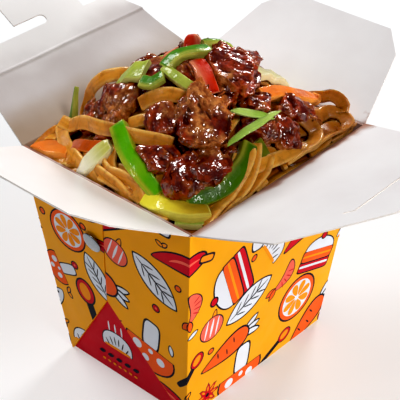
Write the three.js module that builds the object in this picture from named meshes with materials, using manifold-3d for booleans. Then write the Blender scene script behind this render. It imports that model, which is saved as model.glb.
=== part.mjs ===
// Open folded-board takeaway carton heaped with stir-fried noodles, meat and vegetables.
// Millimetres, +Z up. The origin is the middle of the carton's base, on the surface it stands on.
// The side walls that carry the locking flaps face +Y and -Y, the folded end walls face +X and -X.
import * as THREE from "three";
import { mergeVertices } from "three/addons/utils/BufferGeometryUtils.js";
import Module from "manifold-3d";

const wasm = await Module();
wasm.setup();

// Carton
const cartonHeight = 100;
const baseHalf = { x: 42.3, y: 33.2 };
const rimHalf = { x: 51.6, y: 44.4 };
const boardThickness = 0.8;
const gussetThickness = 1.2;
const wallThickness = { x: boardThickness + gussetThickness, y: boardThickness };
const apexUp = 42.5;
const apexSide = -5.5;
const triangleHalfBase = 32.4;
const seamWidth = 0.6;
const seamDepth = 0.7;

// Flaps: their angle is measured upwards from lying flat outwards
const flapThickness = 0.6;
const creaseGap = 0.35;
const creaseInset = 0.9;
const flapShoulder = 33.5;
const endFlapAngle = 28;
const backFlapAngle = 26;
const frontFlapAngle = 16;

// Fasteners, placed on an end wall: sideways from its middle and up from its foot
const fastenerSide = -8.3;
const fastenerUp = 71.6;
const fastenerHalf = { x: 3.5, y: 2.4 };
const fastenerTurn = -20;
const fastenerBevel = { out: 0.6, side: 1.2 };
const fastenerFlat = 0.2;

// Food
const fitGap = 0.3;
const foodHalf = { x: 49.3, y: 43 };
const edgeLevel = 96.5;
const heapRise = 29.5;
const heapSquareness = 2.4;
const heapSteepness = 1.1;
const noodleWidth = 5.6;
const noodleThickness = 1.9;
const noodleStep = 7.5;
const noodleSides = 4;
const stripStep = 4.5;
const bandSquareness = 0.6;
const fillerCount = 5;
const fillerSeed = 29;
const smallestDetail = 0.1;

const colours = {
  printedBoard: 0xf0a92c,
  insideBoard: 0xe8e4e2,
  steel: 0xc2c4c6,
  noodle: 0xb9741f,
  meat: 0x4a140c,
  redPepper: 0xc22a12,
  greenPepper: 0x5f9a1f,
  yellowPepper: 0xb9a81c,
  carrot: 0xd8681a,
  springOnion: 0x9fc04c,
  paleLeaf: 0xd2cf9a,
};

const group = new THREE.Group();

// Solids
function toSolid(geometry) {
  const bare = geometry.clone();
  bare.deleteAttribute("normal");
  bare.deleteAttribute("uv");
  const merged = mergeVertices(bare, 1e-4);
  const mesh = new wasm.Mesh({
    numProp: 3,
    vertProperties: new Float32Array(merged.attributes.position.array),
    triVerts: new Uint32Array(merged.index.array),
  });
  return new wasm.Manifold(mesh);
}

function toGeometry(solid) {
  const mesh = solid.getMesh();
  const geometry = new THREE.BufferGeometry();
  geometry.setAttribute("position", new THREE.BufferAttribute(mesh.vertProperties, 3));
  geometry.setIndex(new THREE.BufferAttribute(mesh.triVerts, 1));
  geometry.computeVertexNormals();
  return geometry;
}

function largestBody(solid) {
  const bodies = solid.decompose();
  return bodies.reduce((best, body) => (body.volume() > best.volume() ? body : best));
}

function boxesMeet(first, second) {
  const a = first.boundingBox();
  const b = second.boundingBox();
  return [0, 1, 2].every((axis) => a.min[axis] < b.max[axis] && b.min[axis] < a.max[axis]);
}

function addMesh(parent, name, geometry, colour, roughness = 0.5, metalness = 0) {
  const material = new THREE.MeshStandardMaterial({ color: colour, roughness, metalness });
  const mesh = new THREE.Mesh(geometry, material);
  mesh.name = name;
  parent.add(mesh);
  return mesh;
}

// Block from one level to another, with its own half sizes at each
function taperedBlock(lowLevel, lowHalf, highLevel, highHalf) {
  const geometry = new THREE.BoxGeometry(2, 2, 2);
  const position = geometry.attributes.position;
  for (let i = 0; i < position.count; i++) {
    const top = position.getZ(i) > 0;
    const half = top ? highHalf : lowHalf;
    position.setXYZ(i, position.getX(i) * half.x, position.getY(i) * half.y, top ? highLevel : lowLevel);
  }
  return geometry;
}

function outerHalfAt(level) {
  const share = level / cartonHeight;
  return {
    x: THREE.MathUtils.lerp(baseHalf.x, rimHalf.x, share),
    y: THREE.MathUtils.lerp(baseHalf.y, rimHalf.y, share),
  };
}

function innerHalfAt(level, clearance = 0) {
  const outer = outerHalfAt(level);
  return { x: outer.x - wallThickness.x - clearance, y: outer.y - wallThickness.y - clearance };
}

// Frame of the -X end wall: x sideways as seen from outside, y up the slope, z outwards
const endWallSlope = Math.atan2(rimHalf.x - baseHalf.x, cartonHeight);
const slopeLength = cartonHeight / Math.cos(endWallSlope);
const endWallFrame = new THREE.Matrix4().makeBasis(
  new THREE.Vector3(0, -1, 0),
  new THREE.Vector3(-Math.sin(endWallSlope), 0, Math.cos(endWallSlope)),
  new THREE.Vector3(-Math.cos(endWallSlope), 0, -Math.sin(endWallSlope)),
).setPosition(-baseHalf.x, 0, 0);
const halfTurn = new THREE.Matrix4().makeRotationZ(Math.PI);

// Carton: the corner gussets are folded over each end wall and leave a plain triangle at its foot
function makeCarton() {
  const outside = toSolid(taperedBlock(0, baseHalf, cartonHeight, rimHalf));
  const above = cartonHeight + 1;
  const floor = boardThickness;
  const inside = toSolid(taperedBlock(floor, innerHalfAt(floor), above, innerHalfAt(above)));

  const triangle = new THREE.Shape();
  triangle.moveTo(-triangleHalfBase, 0);
  triangle.lineTo(-triangleHalfBase - 1, -2);
  triangle.lineTo(triangleHalfBase + 1, -2);
  triangle.lineTo(triangleHalfBase, 0);
  triangle.lineTo(apexSide, apexUp);
  triangle.closePath();
  const recess = new THREE.ExtrudeGeometry(triangle, { depth: gussetThickness + 1, bevelEnabled: false });
  recess.translate(0, 0, -gussetThickness);

  const seam = new THREE.BoxGeometry(seamWidth, slopeLength - apexUp + 2, 2 * seamDepth);
  seam.rotateZ(Math.atan2(apexSide, slopeLength - apexUp));
  seam.translate(apexSide / 2, (slopeLength + apexUp) / 2, 0);

  let carton = outside.subtract(inside);
  for (const cut of [recess, seam]) {
    cut.applyMatrix4(endWallFrame);
    carton = carton.subtract(toSolid(cut));
    cut.applyMatrix4(halfTurn);
    carton = carton.subtract(toSolid(cut));
  }
  addMesh(group, "carton", toGeometry(carton), colours.printedBoard, 0.45);
}

function makeFasteners() {
  const outline = new THREE.Shape();
  outline.absellipse(0, 0, fastenerHalf.x, fastenerHalf.y, 0, 2 * Math.PI);
  ["fastener_left", "fastener_right"].forEach((name, index) => {
    const cap = new THREE.ExtrudeGeometry(outline, {
      depth: fastenerFlat,
      curveSegments: 4,
      bevelThickness: fastenerBevel.out,
      bevelSize: fastenerBevel.side,
      bevelSegments: 2,
    });
    cap.rotateZ(THREE.MathUtils.degToRad(fastenerTurn));
    cap.translate(fastenerSide, fastenerUp, fastenerBevel.out + fitGap);
    cap.applyMatrix4(endWallFrame);
    if (index === 1) cap.applyMatrix4(halfTurn);
    addMesh(group, name, cap, colours.steel, 0.25, 1);
  });
}

// Flap outlines: x along the crease, y outwards from it
function endFlapOutline() {
  const shoulderHalf = 35.5;
  const tipHalf = 26;
  const tipOut = 44;
  const outline = new THREE.Shape();
  outline.moveTo(-rimHalf.y + creaseInset, creaseGap);
  outline.lineTo(rimHalf.y - creaseInset, creaseGap);
  outline.lineTo(shoulderHalf, flapShoulder);
  outline.lineTo(tipHalf, tipOut);
  outline.lineTo(-tipHalf, tipOut);
  outline.lineTo(-shoulderHalf, flapShoulder);
  outline.closePath();
  return outline;
}

// Ends in a hook tab that is undercut by a notch on one side
function backFlapOutline() {
  const shoulderHalf = 44.5;
  const tipHalf = 37;
  const tipOut = 44.6;
  const tab = { from: -14.5, to: 20.5, out: 64.5, corner: 5 };
  const notchRadius = 2.3;
  const notchMiddle = { x: -1.3, y: tipOut + notchRadius };
  const outline = new THREE.Shape();
  outline.moveTo(-rimHalf.x + creaseInset, creaseGap);
  outline.lineTo(rimHalf.x - creaseInset, creaseGap);
  outline.lineTo(shoulderHalf, flapShoulder);
  outline.lineTo(tipHalf, tipOut);
  outline.lineTo(tab.to, tipOut);
  outline.lineTo(tab.to, tab.out - tab.corner);
  outline.absarc(tab.to - tab.corner, tab.out - tab.corner, tab.corner, 0, Math.PI / 2);
  outline.lineTo(tab.from + tab.corner, tab.out);
  outline.absarc(tab.from + tab.corner, tab.out - tab.corner, tab.corner, Math.PI / 2, Math.PI);
  outline.lineTo(tab.from, tipOut + 2 * notchRadius);
  outline.lineTo(notchMiddle.x, tipOut + 2 * notchRadius);
  outline.absarc(notchMiddle.x, notchMiddle.y, notchRadius, Math.PI / 2, -Math.PI / 2, true);
  outline.lineTo(-tipHalf, tipOut);
  outline.lineTo(-shoulderHalf, flapShoulder);
  outline.closePath();
  return outline;
}

// Ends in a rounded point, with a slit across it that the hook tab goes into
function frontFlapOutline() {
  const shoulderHalf = 45.5;
  const point = { half: 12, out: 58.5, bendHalf: 7, bendOut: 62.2 };
  const slitWidth = 0.8;
  const slitRun = { from: -20, to: 15, out: 44 };
  const slitHook = { x: 18, y: 41.5, farX: 18.72, farY: 41.98 };
  const outline = new THREE.Shape();
  outline.moveTo(-rimHalf.x + creaseInset, creaseGap);
  outline.lineTo(rimHalf.x - creaseInset, creaseGap);
  outline.lineTo(shoulderHalf, flapShoulder);
  outline.lineTo(point.half, point.out);
  const { half, out, bendHalf, bendOut } = point;
  outline.bezierCurveTo(bendHalf, bendOut, -bendHalf, bendOut, -half, out);
  outline.lineTo(-shoulderHalf, flapShoulder);
  outline.closePath();
  const slit = new THREE.Path();
  slit.moveTo(slitRun.from, slitRun.out);
  slit.lineTo(slitRun.to, slitRun.out);
  slit.lineTo(slitHook.x, slitHook.y);
  slit.lineTo(slitHook.farX, slitHook.farY);
  slit.lineTo(slitRun.to + slitWidth / 2, slitRun.out + slitWidth);
  slit.lineTo(slitRun.from, slitRun.out + slitWidth);
  slit.closePath();
  outline.holes.push(slit);
  return outline;
}

function makeFlap(name, outline, quarterTurns, hingeDistance, angle) {
  const turned = new THREE.Group();
  turned.rotation.z = (quarterTurns * Math.PI) / 2;
  const hinge = new THREE.Group();
  hinge.position.set(0, hingeDistance, cartonHeight);
  hinge.rotation.x = THREE.MathUtils.degToRad(angle);
  turned.add(hinge);
  group.add(turned);
  const plate = new THREE.ExtrudeGeometry(outline, {
    depth: flapThickness,
    bevelEnabled: false,
    curveSegments: 5,
  });
  addMesh(hinge, name, plate, colours.insideBoard, 0.5);
}

// Top of the heap under its noodles: highest in the middle, level with the rim at the walls
function heapLevel(x, y) {
  const across = Math.abs(x / foodHalf.x) ** heapSquareness + Math.abs(y / foodHalf.y) ** heapSquareness;
  const outwards = Math.min(1, across ** (1 / heapSquareness));
  return edgeLevel + heapRise * (1 - outwards ** 2) ** heapSteepness;
}

function heapNormal(x, y) {
  const step = 2;
  const slopeX = (heapLevel(x + step, y) - heapLevel(x - step, y)) / (2 * step);
  const slopeY = (heapLevel(x, y + step) - heapLevel(x, y - step)) / (2 * step);
  return new THREE.Vector3(-slopeX, -slopeY, 1).normalize();
}

// Places on the heap are given as [x, y, height above its bare top]
function onHeap([x, y, lift]) {
  return new THREE.Vector3(x, y, heapLevel(x, y) + lift);
}

// Bare body of the heap, or the same raised by a clearance that the toppings keep to it
function makeCore(clearance = 0) {
  const floor = boardThickness + fitGap;
  const geometry = new THREE.BoxGeometry(2, 2, 2, 8, 8, 1);
  const position = geometry.attributes.position;
  for (let i = 0; i < position.count; i++) {
    const isTop = position.getZ(i) > 0;
    const half = innerHalfAt(isTop ? edgeLevel : floor, fitGap);
    const x = position.getX(i) * half.x;
    const y = position.getY(i) * half.y;
    position.setXYZ(i, x, y, isTop ? heapLevel(x, y) + clearance : floor);
  }
  return toSolid(geometry);
}

// Room for food: inside the walls with a small gap, and straight up from the rim
function makeFoodRoom() {
  const floor = boardThickness + fitGap;
  const rim = innerHalfAt(cartonHeight, fitGap);
  const lower = taperedBlock(floor, innerHalfAt(floor, fitGap), cartonHeight, rim);
  const upper = taperedBlock(cartonHeight - 1, foodHalf, 2 * cartonHeight, foodHalf);
  return toSolid(lower).add(toSolid(upper));
}

// Pushes a circle's coordinate out towards a box's
function boxier(value) {
  return Math.sign(value) * Math.abs(value) ** bandSquareness;
}

// Flat band that follows places on the heap; its width lies along the heap unless it is rolled
function makeBand(places, width, thickness, { roll = 0, step = stripStep, sides = 6, taper = 0 } = {}) {
  const curve = new THREE.CatmullRomCurve3(places.map(onHeap));
  const steps = Math.max(3, Math.round(curve.getLength() / step));
  curve.computeFrenetFrames = (segments) => {
    const frames = { tangents: [], normals: [], binormals: [] };
    for (let i = 0; i <= segments; i++) {
      const tangent = curve.getTangentAt(i / segments);
      const point = curve.getPointAt(i / segments);
      const sideways = tangent.clone().cross(heapNormal(point.x, point.y)).normalize();
      sideways.applyAxisAngle(tangent, THREE.MathUtils.degToRad(roll));
      frames.tangents.push(tangent);
      frames.normals.push(sideways);
      frames.binormals.push(tangent.clone().cross(sideways));
    }
    return frames;
  };
  const corners = Array.from({ length: sides }, (_, i) => {
    const turn = ((i + 0.5) / sides) * 2 * Math.PI;
    return new THREE.Vector2(boxier(Math.cos(turn)), boxier(Math.sin(turn)));
  });
  const widest = Math.max(...corners.map((corner) => corner.x));
  const tallest = Math.max(...corners.map((corner) => corner.y));
  for (const corner of corners) {
    corner.set((corner.x * width) / widest / 2, (corner.y * thickness) / tallest / 2);
  }
  const section = new THREE.Shape(corners);
  const band = new THREE.ExtrudeGeometry(section, { steps, extrudePath: curve, bevelEnabled: false });
  if (taper > 0) taperEnds(band, curve, steps, taper);
  return toSolid(band);
}

// Draws the ends of a band in towards its middle line
function taperEnds(band, curve, steps, taper) {
  const position = band.attributes.position;
  const point = new THREE.Vector3();
  const centres = curve.getSpacedPoints(steps);
  for (let i = 0; i < position.count; i++) {
    point.fromBufferAttribute(position, i);
    const distances = centres.map((centre) => centre.distanceTo(point));
    const nearest = distances.indexOf(Math.min(...distances));
    const towardsEnd = Math.abs((2 * nearest) / steps - 1);
    point.lerp(centres[nearest], taper * towardsEnd ** 4);
    position.setXYZ(i, point.x, point.y, point.z);
  }
}

// Torn, rounded block of meat
const chunkSquareness = 3.5;
const chunkUnevenness = 0.13;

function makeChunk([x, y, lift], [length, width, height], turn, tilt, seed, grow) {
  const geometry = new THREE.BoxGeometry(2, 2, 2, 3, 3, 2);
  const position = geometry.attributes.position;
  const point = new THREE.Vector3();
  for (let i = 0; i < position.count; i++) {
    point.fromBufferAttribute(position, i);
    const reach = point.toArray().reduce((sum, value) => sum + Math.abs(value) ** chunkSquareness, 0);
    point.divideScalar(reach ** (1 / chunkSquareness));
    const lumps =
      Math.sin(3.3 * point.x + 1.7 * seed) * Math.sin(2.9 * point.y + 2.3 * seed) +
      0.6 * Math.sin(4.1 * point.z + 5.2 * point.x + 0.9 * seed);
    point.multiplyScalar(1 + chunkUnevenness * lumps);
    point.multiply(new THREE.Vector3(length / 2 + grow, width / 2 + grow, height / 2 + grow));
    position.setXYZ(i, point.x, point.y, point.z);
  }
  geometry.rotateX(THREE.MathUtils.degToRad(tilt));
  geometry.rotateZ(THREE.MathUtils.degToRad(turn));
  const lie = new THREE.Quaternion().setFromUnitVectors(new THREE.Vector3(0, 0, 1), heapNormal(x, y));
  geometry.applyQuaternion(lie);
  const centre = onHeap([x, y, lift]);
  geometry.translate(centre.x, centre.y, centre.z);
  return toSolid(geometry);
}

// Toppings, from the uppermost down: a lower one is cut to fit under those before it
const toppings = [];

function strip(name, colour, places, width, thickness, options = {}) {
  const make = (grow) => makeBand(places, width + 2 * grow, thickness + 2 * grow, options);
  toppings.push({ name, colour, make });
}

function chunk(name, place, size, turn, tilt, seed) {
  const make = (grow) => makeChunk(place, size, turn, tilt, seed, grow);
  toppings.push({ name, colour: colours.meat, make });
}

strip("red_pepper_strip", colours.redPepper, [[-4, -4, 9.5], [-8, -12, 10.5], [-10, -17, 8.5]], 6.4, 3);
strip("red_pepper_tip", colours.redPepper, [[7, 8, 5], [8.5, 9.5, 9], [10, 11, 13]], 7, 3, { taper: 0.5 });
strip("green_pepper_arc", colours.greenPepper,
  [[-13.5, 3.5, 10], [-7.5, 2.5, 11.5], [-1.5, -1, 11.5], [4.5, -3, 10.5]], 6, 3);
strip("green_pepper_edge", colours.springOnion,
  [[-13.5, 3.5, 10], [-14.8, -2.5, 10], [-15.1, -7.8, 10], [-13.8, -11.7, 9]], 4, 2.4);
strip("green_bean", colours.greenPepper, [[8, 4, 10], [13, 1, 10], [17, -2, 9]], 5, 5);
strip("spring_onion_long", colours.springOnion,
  [[13, -31, 9], [-3, -32, 10], [-20, -31, 9]], 4.4, 1.6, { taper: 0.6 });
strip("spring_onion_short", colours.springOnion,
  [[-9, -25, 10], [-1, -29, 10], [8, -32, 8.5]], 4.6, 1.6, { taper: 0.5 });
chunk("meat_centre", [-19, -21, 8], [25, 19, 11], 35, 12, 1);
chunk("meat_top", [4, -14, 8], [20, 23, 13], 20, -8, 2);
chunk("meat_crown", [26, -2, 5], [11, 10, 9], 0, 0, 3);
chunk("meat_peak", [10, 2, 6], [10, 8, 7], 30, 0, 4);
chunk("meat_nook", [-7, -4, 6], [11, 10, 9], 10, 10, 5);
strip("red_pepper_bit", colours.carrot, [[-14, -8, 6], [-11, -12, 6]], 6, 4.5);
strip("green_leaf_bit", colours.greenPepper, [[-22.5, 7, 11.5], [-21.3, 3, 11], [-18, -0.5, 12]], 5.5, 2);
strip("pale_pepper", colours.springOnion,
  [[-18.5, 20.5, 9.5], [-18, 15, 11], [-16.5, 10, 10.5]], 10, 2.6);
chunk("meat_back_left", [-10, 12, 2], [20, 18, 10], 15, 5, 6);
chunk("meat_left", [-24, 16, 5], [19, 16, 10], -20, 10, 7);
chunk("meat_middle_left", [-27, -8, 6], [15, 13, 9], 40, 0, 8);
strip("carrot_right", colours.carrot, [[14, -20, 2], [30.6, -21.4, 5], [46.5, -23, 10]], 5.5, 4);
chunk("meat_right_small", [5, -25, 7], [11, 9, 8], -40, 10, 9);
chunk("meat_right_long", [27, -28, 4], [24, 10, 7], -25, 0, 10);
strip("cabbage", colours.paleLeaf, [[22, -9, 4], [30, -10, 5], [38, -13, 6]], 9, 3.2, { taper: 0.3 });
chunk("meat_right_inner", [2, -30, 3], [18, 13, 8], -20, 0, 11);
chunk("meat_right_outer", [12, -34, 3], [15, 14, 8], 60, 0, 12);
chunk("meat_front_inner", [-25, -28, 6], [20, 15, 9], 30, 0, 13);
chunk("meat_front", [-34, -27, 6], [15, 15, 9], 10, 15, 14);
chunk("meat_front_left", [-37, -14, 6], [17, 11, 8], -60, 0, 15);
strip("green_strip_bright", colours.greenPepper,
  [[-36, 6, 9], [-41, -4, 8], [-43, -13, 7], [-43, -21, 4]], 6.8, 3.6);
strip("green_strip_dark", colours.greenPepper,
  [[-7, -33, 5], [-15, -36, 5.5], [-27, -36, 5], [-38, -30, 4]], 7, 4.4);
strip("courgette_slice", colours.greenPepper, [[-3, -38, 3], [-4, -33, 5]], 6, 2.4);
chunk("meat_under_left", [-33, 12, 3], [17, 11, 9], 10, 0, 16);
chunk("meat_edge_left", [-28, 29, 4], [15, 10, 8], 30, 0, 17);
strip("yellow_pepper_front", colours.yellowPepper,
  [[-45, -17, 4], [-44, -26, 4.5], [-41, -34, 4], [-35, -38, 3]], 8.4, 3.8);
strip("yellow_pepper_rim", colours.yellowPepper, [[-46, -32, 1], [-41, -38, 1], [-33, -41, 0.6]], 4.4, 2.2);
strip("spring_onion_pale", colours.paleLeaf,
  [[-48.4, 15.5, 2.2], [-45, 11, 5], [-39.8, 6, 6]], 7, 3.4, { taper: 0.5 });
strip("carrot_left", colours.carrot,
  [[-48.4, 41.8, 2.2], [-45.4, 34.5, 3.3], [-42, 27, 4]], 9, 3.6, { taper: 0.5 });
strip("carrot_strip_left", colours.carrot, [[-40, 27, 4], [-41, 16, 4.5], [-40, 6, 5]], 5, 3);
strip("green_sliver", colours.greenPepper,
  [[-28.5, 40, 3], [-26.8, 40, 11], [-24.6, 40, 20]], 3.6, 2, { taper: 0.5 });
strip("red_pepper_far", colours.redPepper, [[8, 24, 6], [16, 20, 8], [25, 14, 8]], 7, 3);
strip("spring_onion_far", colours.springOnion,
  [[-4, 31, 7], [6, 30, 8], [17, 25, 7]], 5, 1.8, { taper: 0.6 });
chunk("meat_far_centre", [18, 14, 3], [20, 17, 10], -25, 8, 18);
chunk("meat_far_back", [2, 28, 5], [19, 13, 9], 15, 0, 19);
chunk("meat_far_right", [28, 16, 6], [19, 15, 10], 60, 0, 20);
chunk("meat_far_side", [38, 6, 2], [15, 13, 8], 80, 0, 21);
chunk("meat_far_corner", [18, 30, 5], [17, 12, 8], -35, 0, 22);
strip("green_strip_far", colours.greenPepper, [[-12, 37, 4], [0, 38, 4], [11, 36, 4]], 6.4, 3.6);
strip("carrot_far", colours.carrot, [[29, 29, 4], [36, 22, 5], [43, 12, 4]], 6, 4);
strip("yellow_pepper_far", colours.yellowPepper, [[45, 2, 3], [45, -6, 4], [44, -14, 4]], 7.4, 3.6);

// Noodles that lie uppermost, then a seeded spread of others along the slopes
const upperNoodles = [
  {
    places: [[-33, 41, 8], [-34.5, 30, 9], [-37.6, 16, 9],
      [-37.7, 7, 9], [-35.5, -6, 8], [-31, -17, 7]],
    roll: 35,
  },
  {
    places: [[-32, 42, 6], [-36.4, 37, 6], [-41, 30, 5.5],
      [-44.4, 21, 4.5], [-46.5, 13, 3], [-48, 2, 1]],
    roll: 22.5,
  },
  {
    places: [[47, -15, 6], [48.5, -23, 9], [48.5, -29, 12], [48, -34, 11],
      [47.5, -35, 7], [46, -31, 5], [44, -26, 4]],
    roll: 42.5,
  },
  {
    places: [[33, -29, 4], [38, -30.5, 7], [43, -30.5, 7.5], [46, -35, 7],
      [44.5, -40, 5.5], [40, -41, 4], [34, -39, 2]],
    roll: 27.5,
  },
  {
    places: [[47, -40, 3], [40, -41.5, 4.5], [31, -41, 6], [20, -40.5, 6],
      [5, -40, 5.5], [-7, -38.5, 5], [-14, -36.5, 3]],
    roll: 21,
  },
  {
    places: [[47, -36, 2], [45, -40.5, 1.5], [34, -42, 1.5], [24, -42, 1.5],
      [12, -42, 1.5], [0, -42, 1.5], [-10, -42, 1]],
    roll: 55,
  },
  {
    places: [[24, -28, 4], [26.5, -33, 6.5], [27.5, -37, 7],
      [23, -40, 7], [15, -41, 6], [4, -41, 4.5]],
    roll: 45,
  },
  { places: [[28, -33, 3], [33, -36, 5], [39, -36, 4.5], [43, -38, 3]], roll: 15 },
  {
    places: [[-8, -33, 5], [-10.5, -35.5, 7.5], [-16, -37.5, 7],
      [-24, -38.5, 5], [-34, -40, 3], [-41, -41, 1]],
    roll: 19,
  },
  {
    places: [[-5, -34, 6], [-9.5, -37.5, 7], [-15, -39.5, 5.5],
      [-22, -40.5, 4], [-32, -41.7, 2.5], [-40, -42, 0.5]],
    roll: 31,
  },
  {
    places: [[-2, -38, 5], [-9, -40.5, 4.5], [-18, -41.6, 3],
      [-28, -42.2, 1.5], [-38, -42.4, 0]],
    roll: 45,
  },
  { places: [[-12, -33, 4], [-18, -35.5, 4], [-27, -36.5, 3], [-36, -38.5, 1]], roll: 20 },
  {
    places: [[-20, 41, 5], [-18.5, 41.5, 10], [-17, 40, 14.5],
      [-16, 34, 14.5], [-13, 29, 11], [-11, 24, 7]],
    roll: 62.5,
  },
  { places: [[-25, 5, 5], [-23, 0, 7.5], [-20.5, -5, 8.5], [-17, -10, 6.5], [-15, -14, 4]], roll: 35 },
  { places: [[-43, 18, 2], [-46, 9, 3.5], [-47, 2, 4], [-47.5, -5, 3.5], [-48.3, -12, 1]], roll: 32.5 },
  {
    places: [[-43, 8, 3], [-46, 1, 5], [-45.6, -6, 5.5],
      [-45.3, -12, 5], [-47, -17, 3], [-48.5, -22, 0]],
    roll: 35,
  },
  { places: [[-46, 42, 1], [-41, 42, 3], [-36, 42, 4.5], [-28, 40, 4]], roll: 25 },
  { places: [[-46, 40, 0.5], [-47.8, 29, 2], [-48, 18, 1.5], [-48.4, 6, 1]], roll: 25 },
  { places: [[-37, -17, 4], [-39.9, -22, 5], [-41, -25, 3.5], [-43, -29, 2]], roll: 10 },
  { places: [[-36, 8, 3], [-40, 5, 4], [-44, 2, 3], [-47, -6, 1]], roll: 15 },
  { places: [[47, -22, 2], [44, -8, 4], [47, 8, 3], [46, 20, 1]], roll: 0 },
  { places: [[-42, 39, 1], [-28, 41, 2], [-12, 40, 3], [2, 41, 1]], roll: 0 },
];

function randomDraws(seed) {
  let state = seed;
  return () => {
    state = (state * 16807) % 2147483647;
    return state / 2147483647;
  };
}

function fillerNoodles() {
  const draw = randomDraws(fillerSeed);
  draw();
  const noodles = [];
  for (let i = 0; i < fillerCount; i++) {
    const start = ((i + 0.6 * draw()) / fillerCount) * 2 * Math.PI;
    const sweep = 0.7 + 0.5 * draw();
    const outwards = 0.72 + 0.2 * draw();
    const drift = 0.3 * (draw() - 0.5);
    const places = [0, 1, 2, 3].map((k) => {
      const turn = start + (sweep * k) / 3;
      const reach = Math.min(0.95, outwards + (drift * k) / 3);
      const corner = (Math.abs(Math.cos(turn)) ** 3 + Math.abs(Math.sin(turn)) ** 3) ** (-1 / 3);
      const x = reach * corner * Math.cos(turn) * foodHalf.x;
      const y = reach * corner * Math.sin(turn) * foodHalf.y;
      return [x, y, k === 0 || k === 3 ? -1.5 : 2 + 1.8 * draw()];
    });
    noodles.push({ places, roll: 50 * (draw() - 0.5) });
  }
  return noodles;
}

function makeFood() {
  const room = makeFoodRoom();
  const raisedCore = makeCore(fitGap);
  const placed = [];
  const grown = [];
  for (const topping of toppings) {
    let solid = topping.make(0).intersect(room).subtract(raisedCore);
    for (const upper of grown) {
      if (boxesMeet(solid, upper)) solid = solid.subtract(upper);
    }
    placed.push({ ...topping, solid: largestBody(solid.simplify(smallestDetail)) });
    grown.push(topping.make(fitGap));
  }
  let heap = makeCore();
  for (const { places, roll } of [...upperNoodles, ...fillerNoodles()]) {
    const options = { roll, step: noodleStep, sides: noodleSides };
    let noodle = makeBand(places, noodleWidth, noodleThickness, options).intersect(room);
    for (const upper of grown) {
      if (boxesMeet(noodle, upper)) noodle = noodle.subtract(upper);
    }
    heap = heap.add(noodle);
  }
  addMesh(group, "noodles", toGeometry(largestBody(heap)), colours.noodle, 0.35);
  for (const { name, colour, solid } of placed) addMesh(group, name, toGeometry(solid), colour, 0.3);
}

makeCarton();
makeFasteners();
makeFlap("flap_back", backFlapOutline(), 0, rimHalf.y, backFlapAngle);
makeFlap("flap_left", endFlapOutline(), 1, rimHalf.x, endFlapAngle);
makeFlap("flap_front", frontFlapOutline(), 2, rimHalf.y, frontFlapAngle);
makeFlap("flap_right", endFlapOutline(), 3, rimHalf.x, endFlapAngle);
makeFood();

export default group;
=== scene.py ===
import math
import random

import bmesh
import bpy
import numpy as np
from mathutils import Matrix, Vector, noise
from mathutils.bvhtree import BVHTree


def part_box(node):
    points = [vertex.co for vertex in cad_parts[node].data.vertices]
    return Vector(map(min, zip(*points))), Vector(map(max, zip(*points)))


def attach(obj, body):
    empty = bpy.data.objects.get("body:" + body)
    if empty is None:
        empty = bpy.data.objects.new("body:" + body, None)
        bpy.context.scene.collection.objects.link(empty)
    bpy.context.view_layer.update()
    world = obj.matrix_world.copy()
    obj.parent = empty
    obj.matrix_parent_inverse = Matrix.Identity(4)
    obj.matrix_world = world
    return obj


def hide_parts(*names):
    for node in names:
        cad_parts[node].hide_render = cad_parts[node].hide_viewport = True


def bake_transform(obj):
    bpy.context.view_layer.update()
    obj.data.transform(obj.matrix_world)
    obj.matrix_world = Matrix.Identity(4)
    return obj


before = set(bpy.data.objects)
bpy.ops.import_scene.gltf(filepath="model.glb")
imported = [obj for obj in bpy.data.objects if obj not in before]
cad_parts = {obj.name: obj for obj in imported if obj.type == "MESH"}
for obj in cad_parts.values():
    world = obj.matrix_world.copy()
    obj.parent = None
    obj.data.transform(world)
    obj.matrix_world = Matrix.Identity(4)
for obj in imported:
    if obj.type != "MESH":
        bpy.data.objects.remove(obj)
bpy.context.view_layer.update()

millimetre = 0.001  # shapes are made in millimetres and brought to metres when they become pieces
random.seed(7)
noise.seed_set(7)  # without it, vector noise starts from the clock

# half widths are along x and along y
carton = {
    "height": 100, "baseHalf": (42.3, 33.2), "rimHalf": (51.6, 44.4), "board": 0.8, "gusset": 1.2,
    "apex": (-5.5, 42.5), "triangleHalf": 32.4, "foldRadius": 0.35,
}
heap = {"half": (49.3, 43), "edge": 96.5, "rise": 29.5, "squareness": 2.4, "steepness": 1.1}
foodHalf = (49.2, 42.9)  # the food's surfaces stay within these, clear of the walls
pathHalf = (49, 42.7)  # and its strips' middle lines within these

cameraView = {
    "azimuth": -47.64, "elevation": 34.2, "distance": 523.6, "target": (1.0, -1.1, 69.5), "lens": 117.2,
}


def clamp(value, half):
    return min(max(value, -half), half)


def limited(value):
    return min(1, max(0, value))


# half the box's width along an axis (0 for x, 1 for y) at a share of its height
def halfAt(axis, share):
    base, rim = carton["baseHalf"][axis], carton["rimHalf"][axis]
    return base + share * (rim - base)


# the elements of one kind, such as faces
def only(kind, elements):
    return [element for element in elements if isinstance(element, kind)]


# moves a place on the unit circle out towards a square
def squared(x, y, squareness):
    power = 2 / squareness
    return math.copysign(abs(x) ** power, x), math.copysign(abs(y) ** power, y)


def addCamera():
    azimuth = math.radians(cameraView["azimuth"])
    elevation = math.radians(cameraView["elevation"])
    back = Vector((
        math.sin(azimuth) * math.cos(elevation),
        -math.cos(azimuth) * math.cos(elevation),
        math.sin(elevation),
    ))
    lensData = bpy.data.cameras.new("camera")
    lensData.lens = cameraView["lens"]
    lensData.sensor_width = 36
    camera = bpy.data.objects.new("camera", lensData)
    camera.location = (Vector(cameraView["target"]) + back * cameraView["distance"]) * millimetre
    camera.rotation_euler = (-back).to_track_quat("-Z", "Y").to_euler()
    bpy.context.scene.collection.objects.link(camera)
    bpy.context.scene.camera = camera


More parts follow.
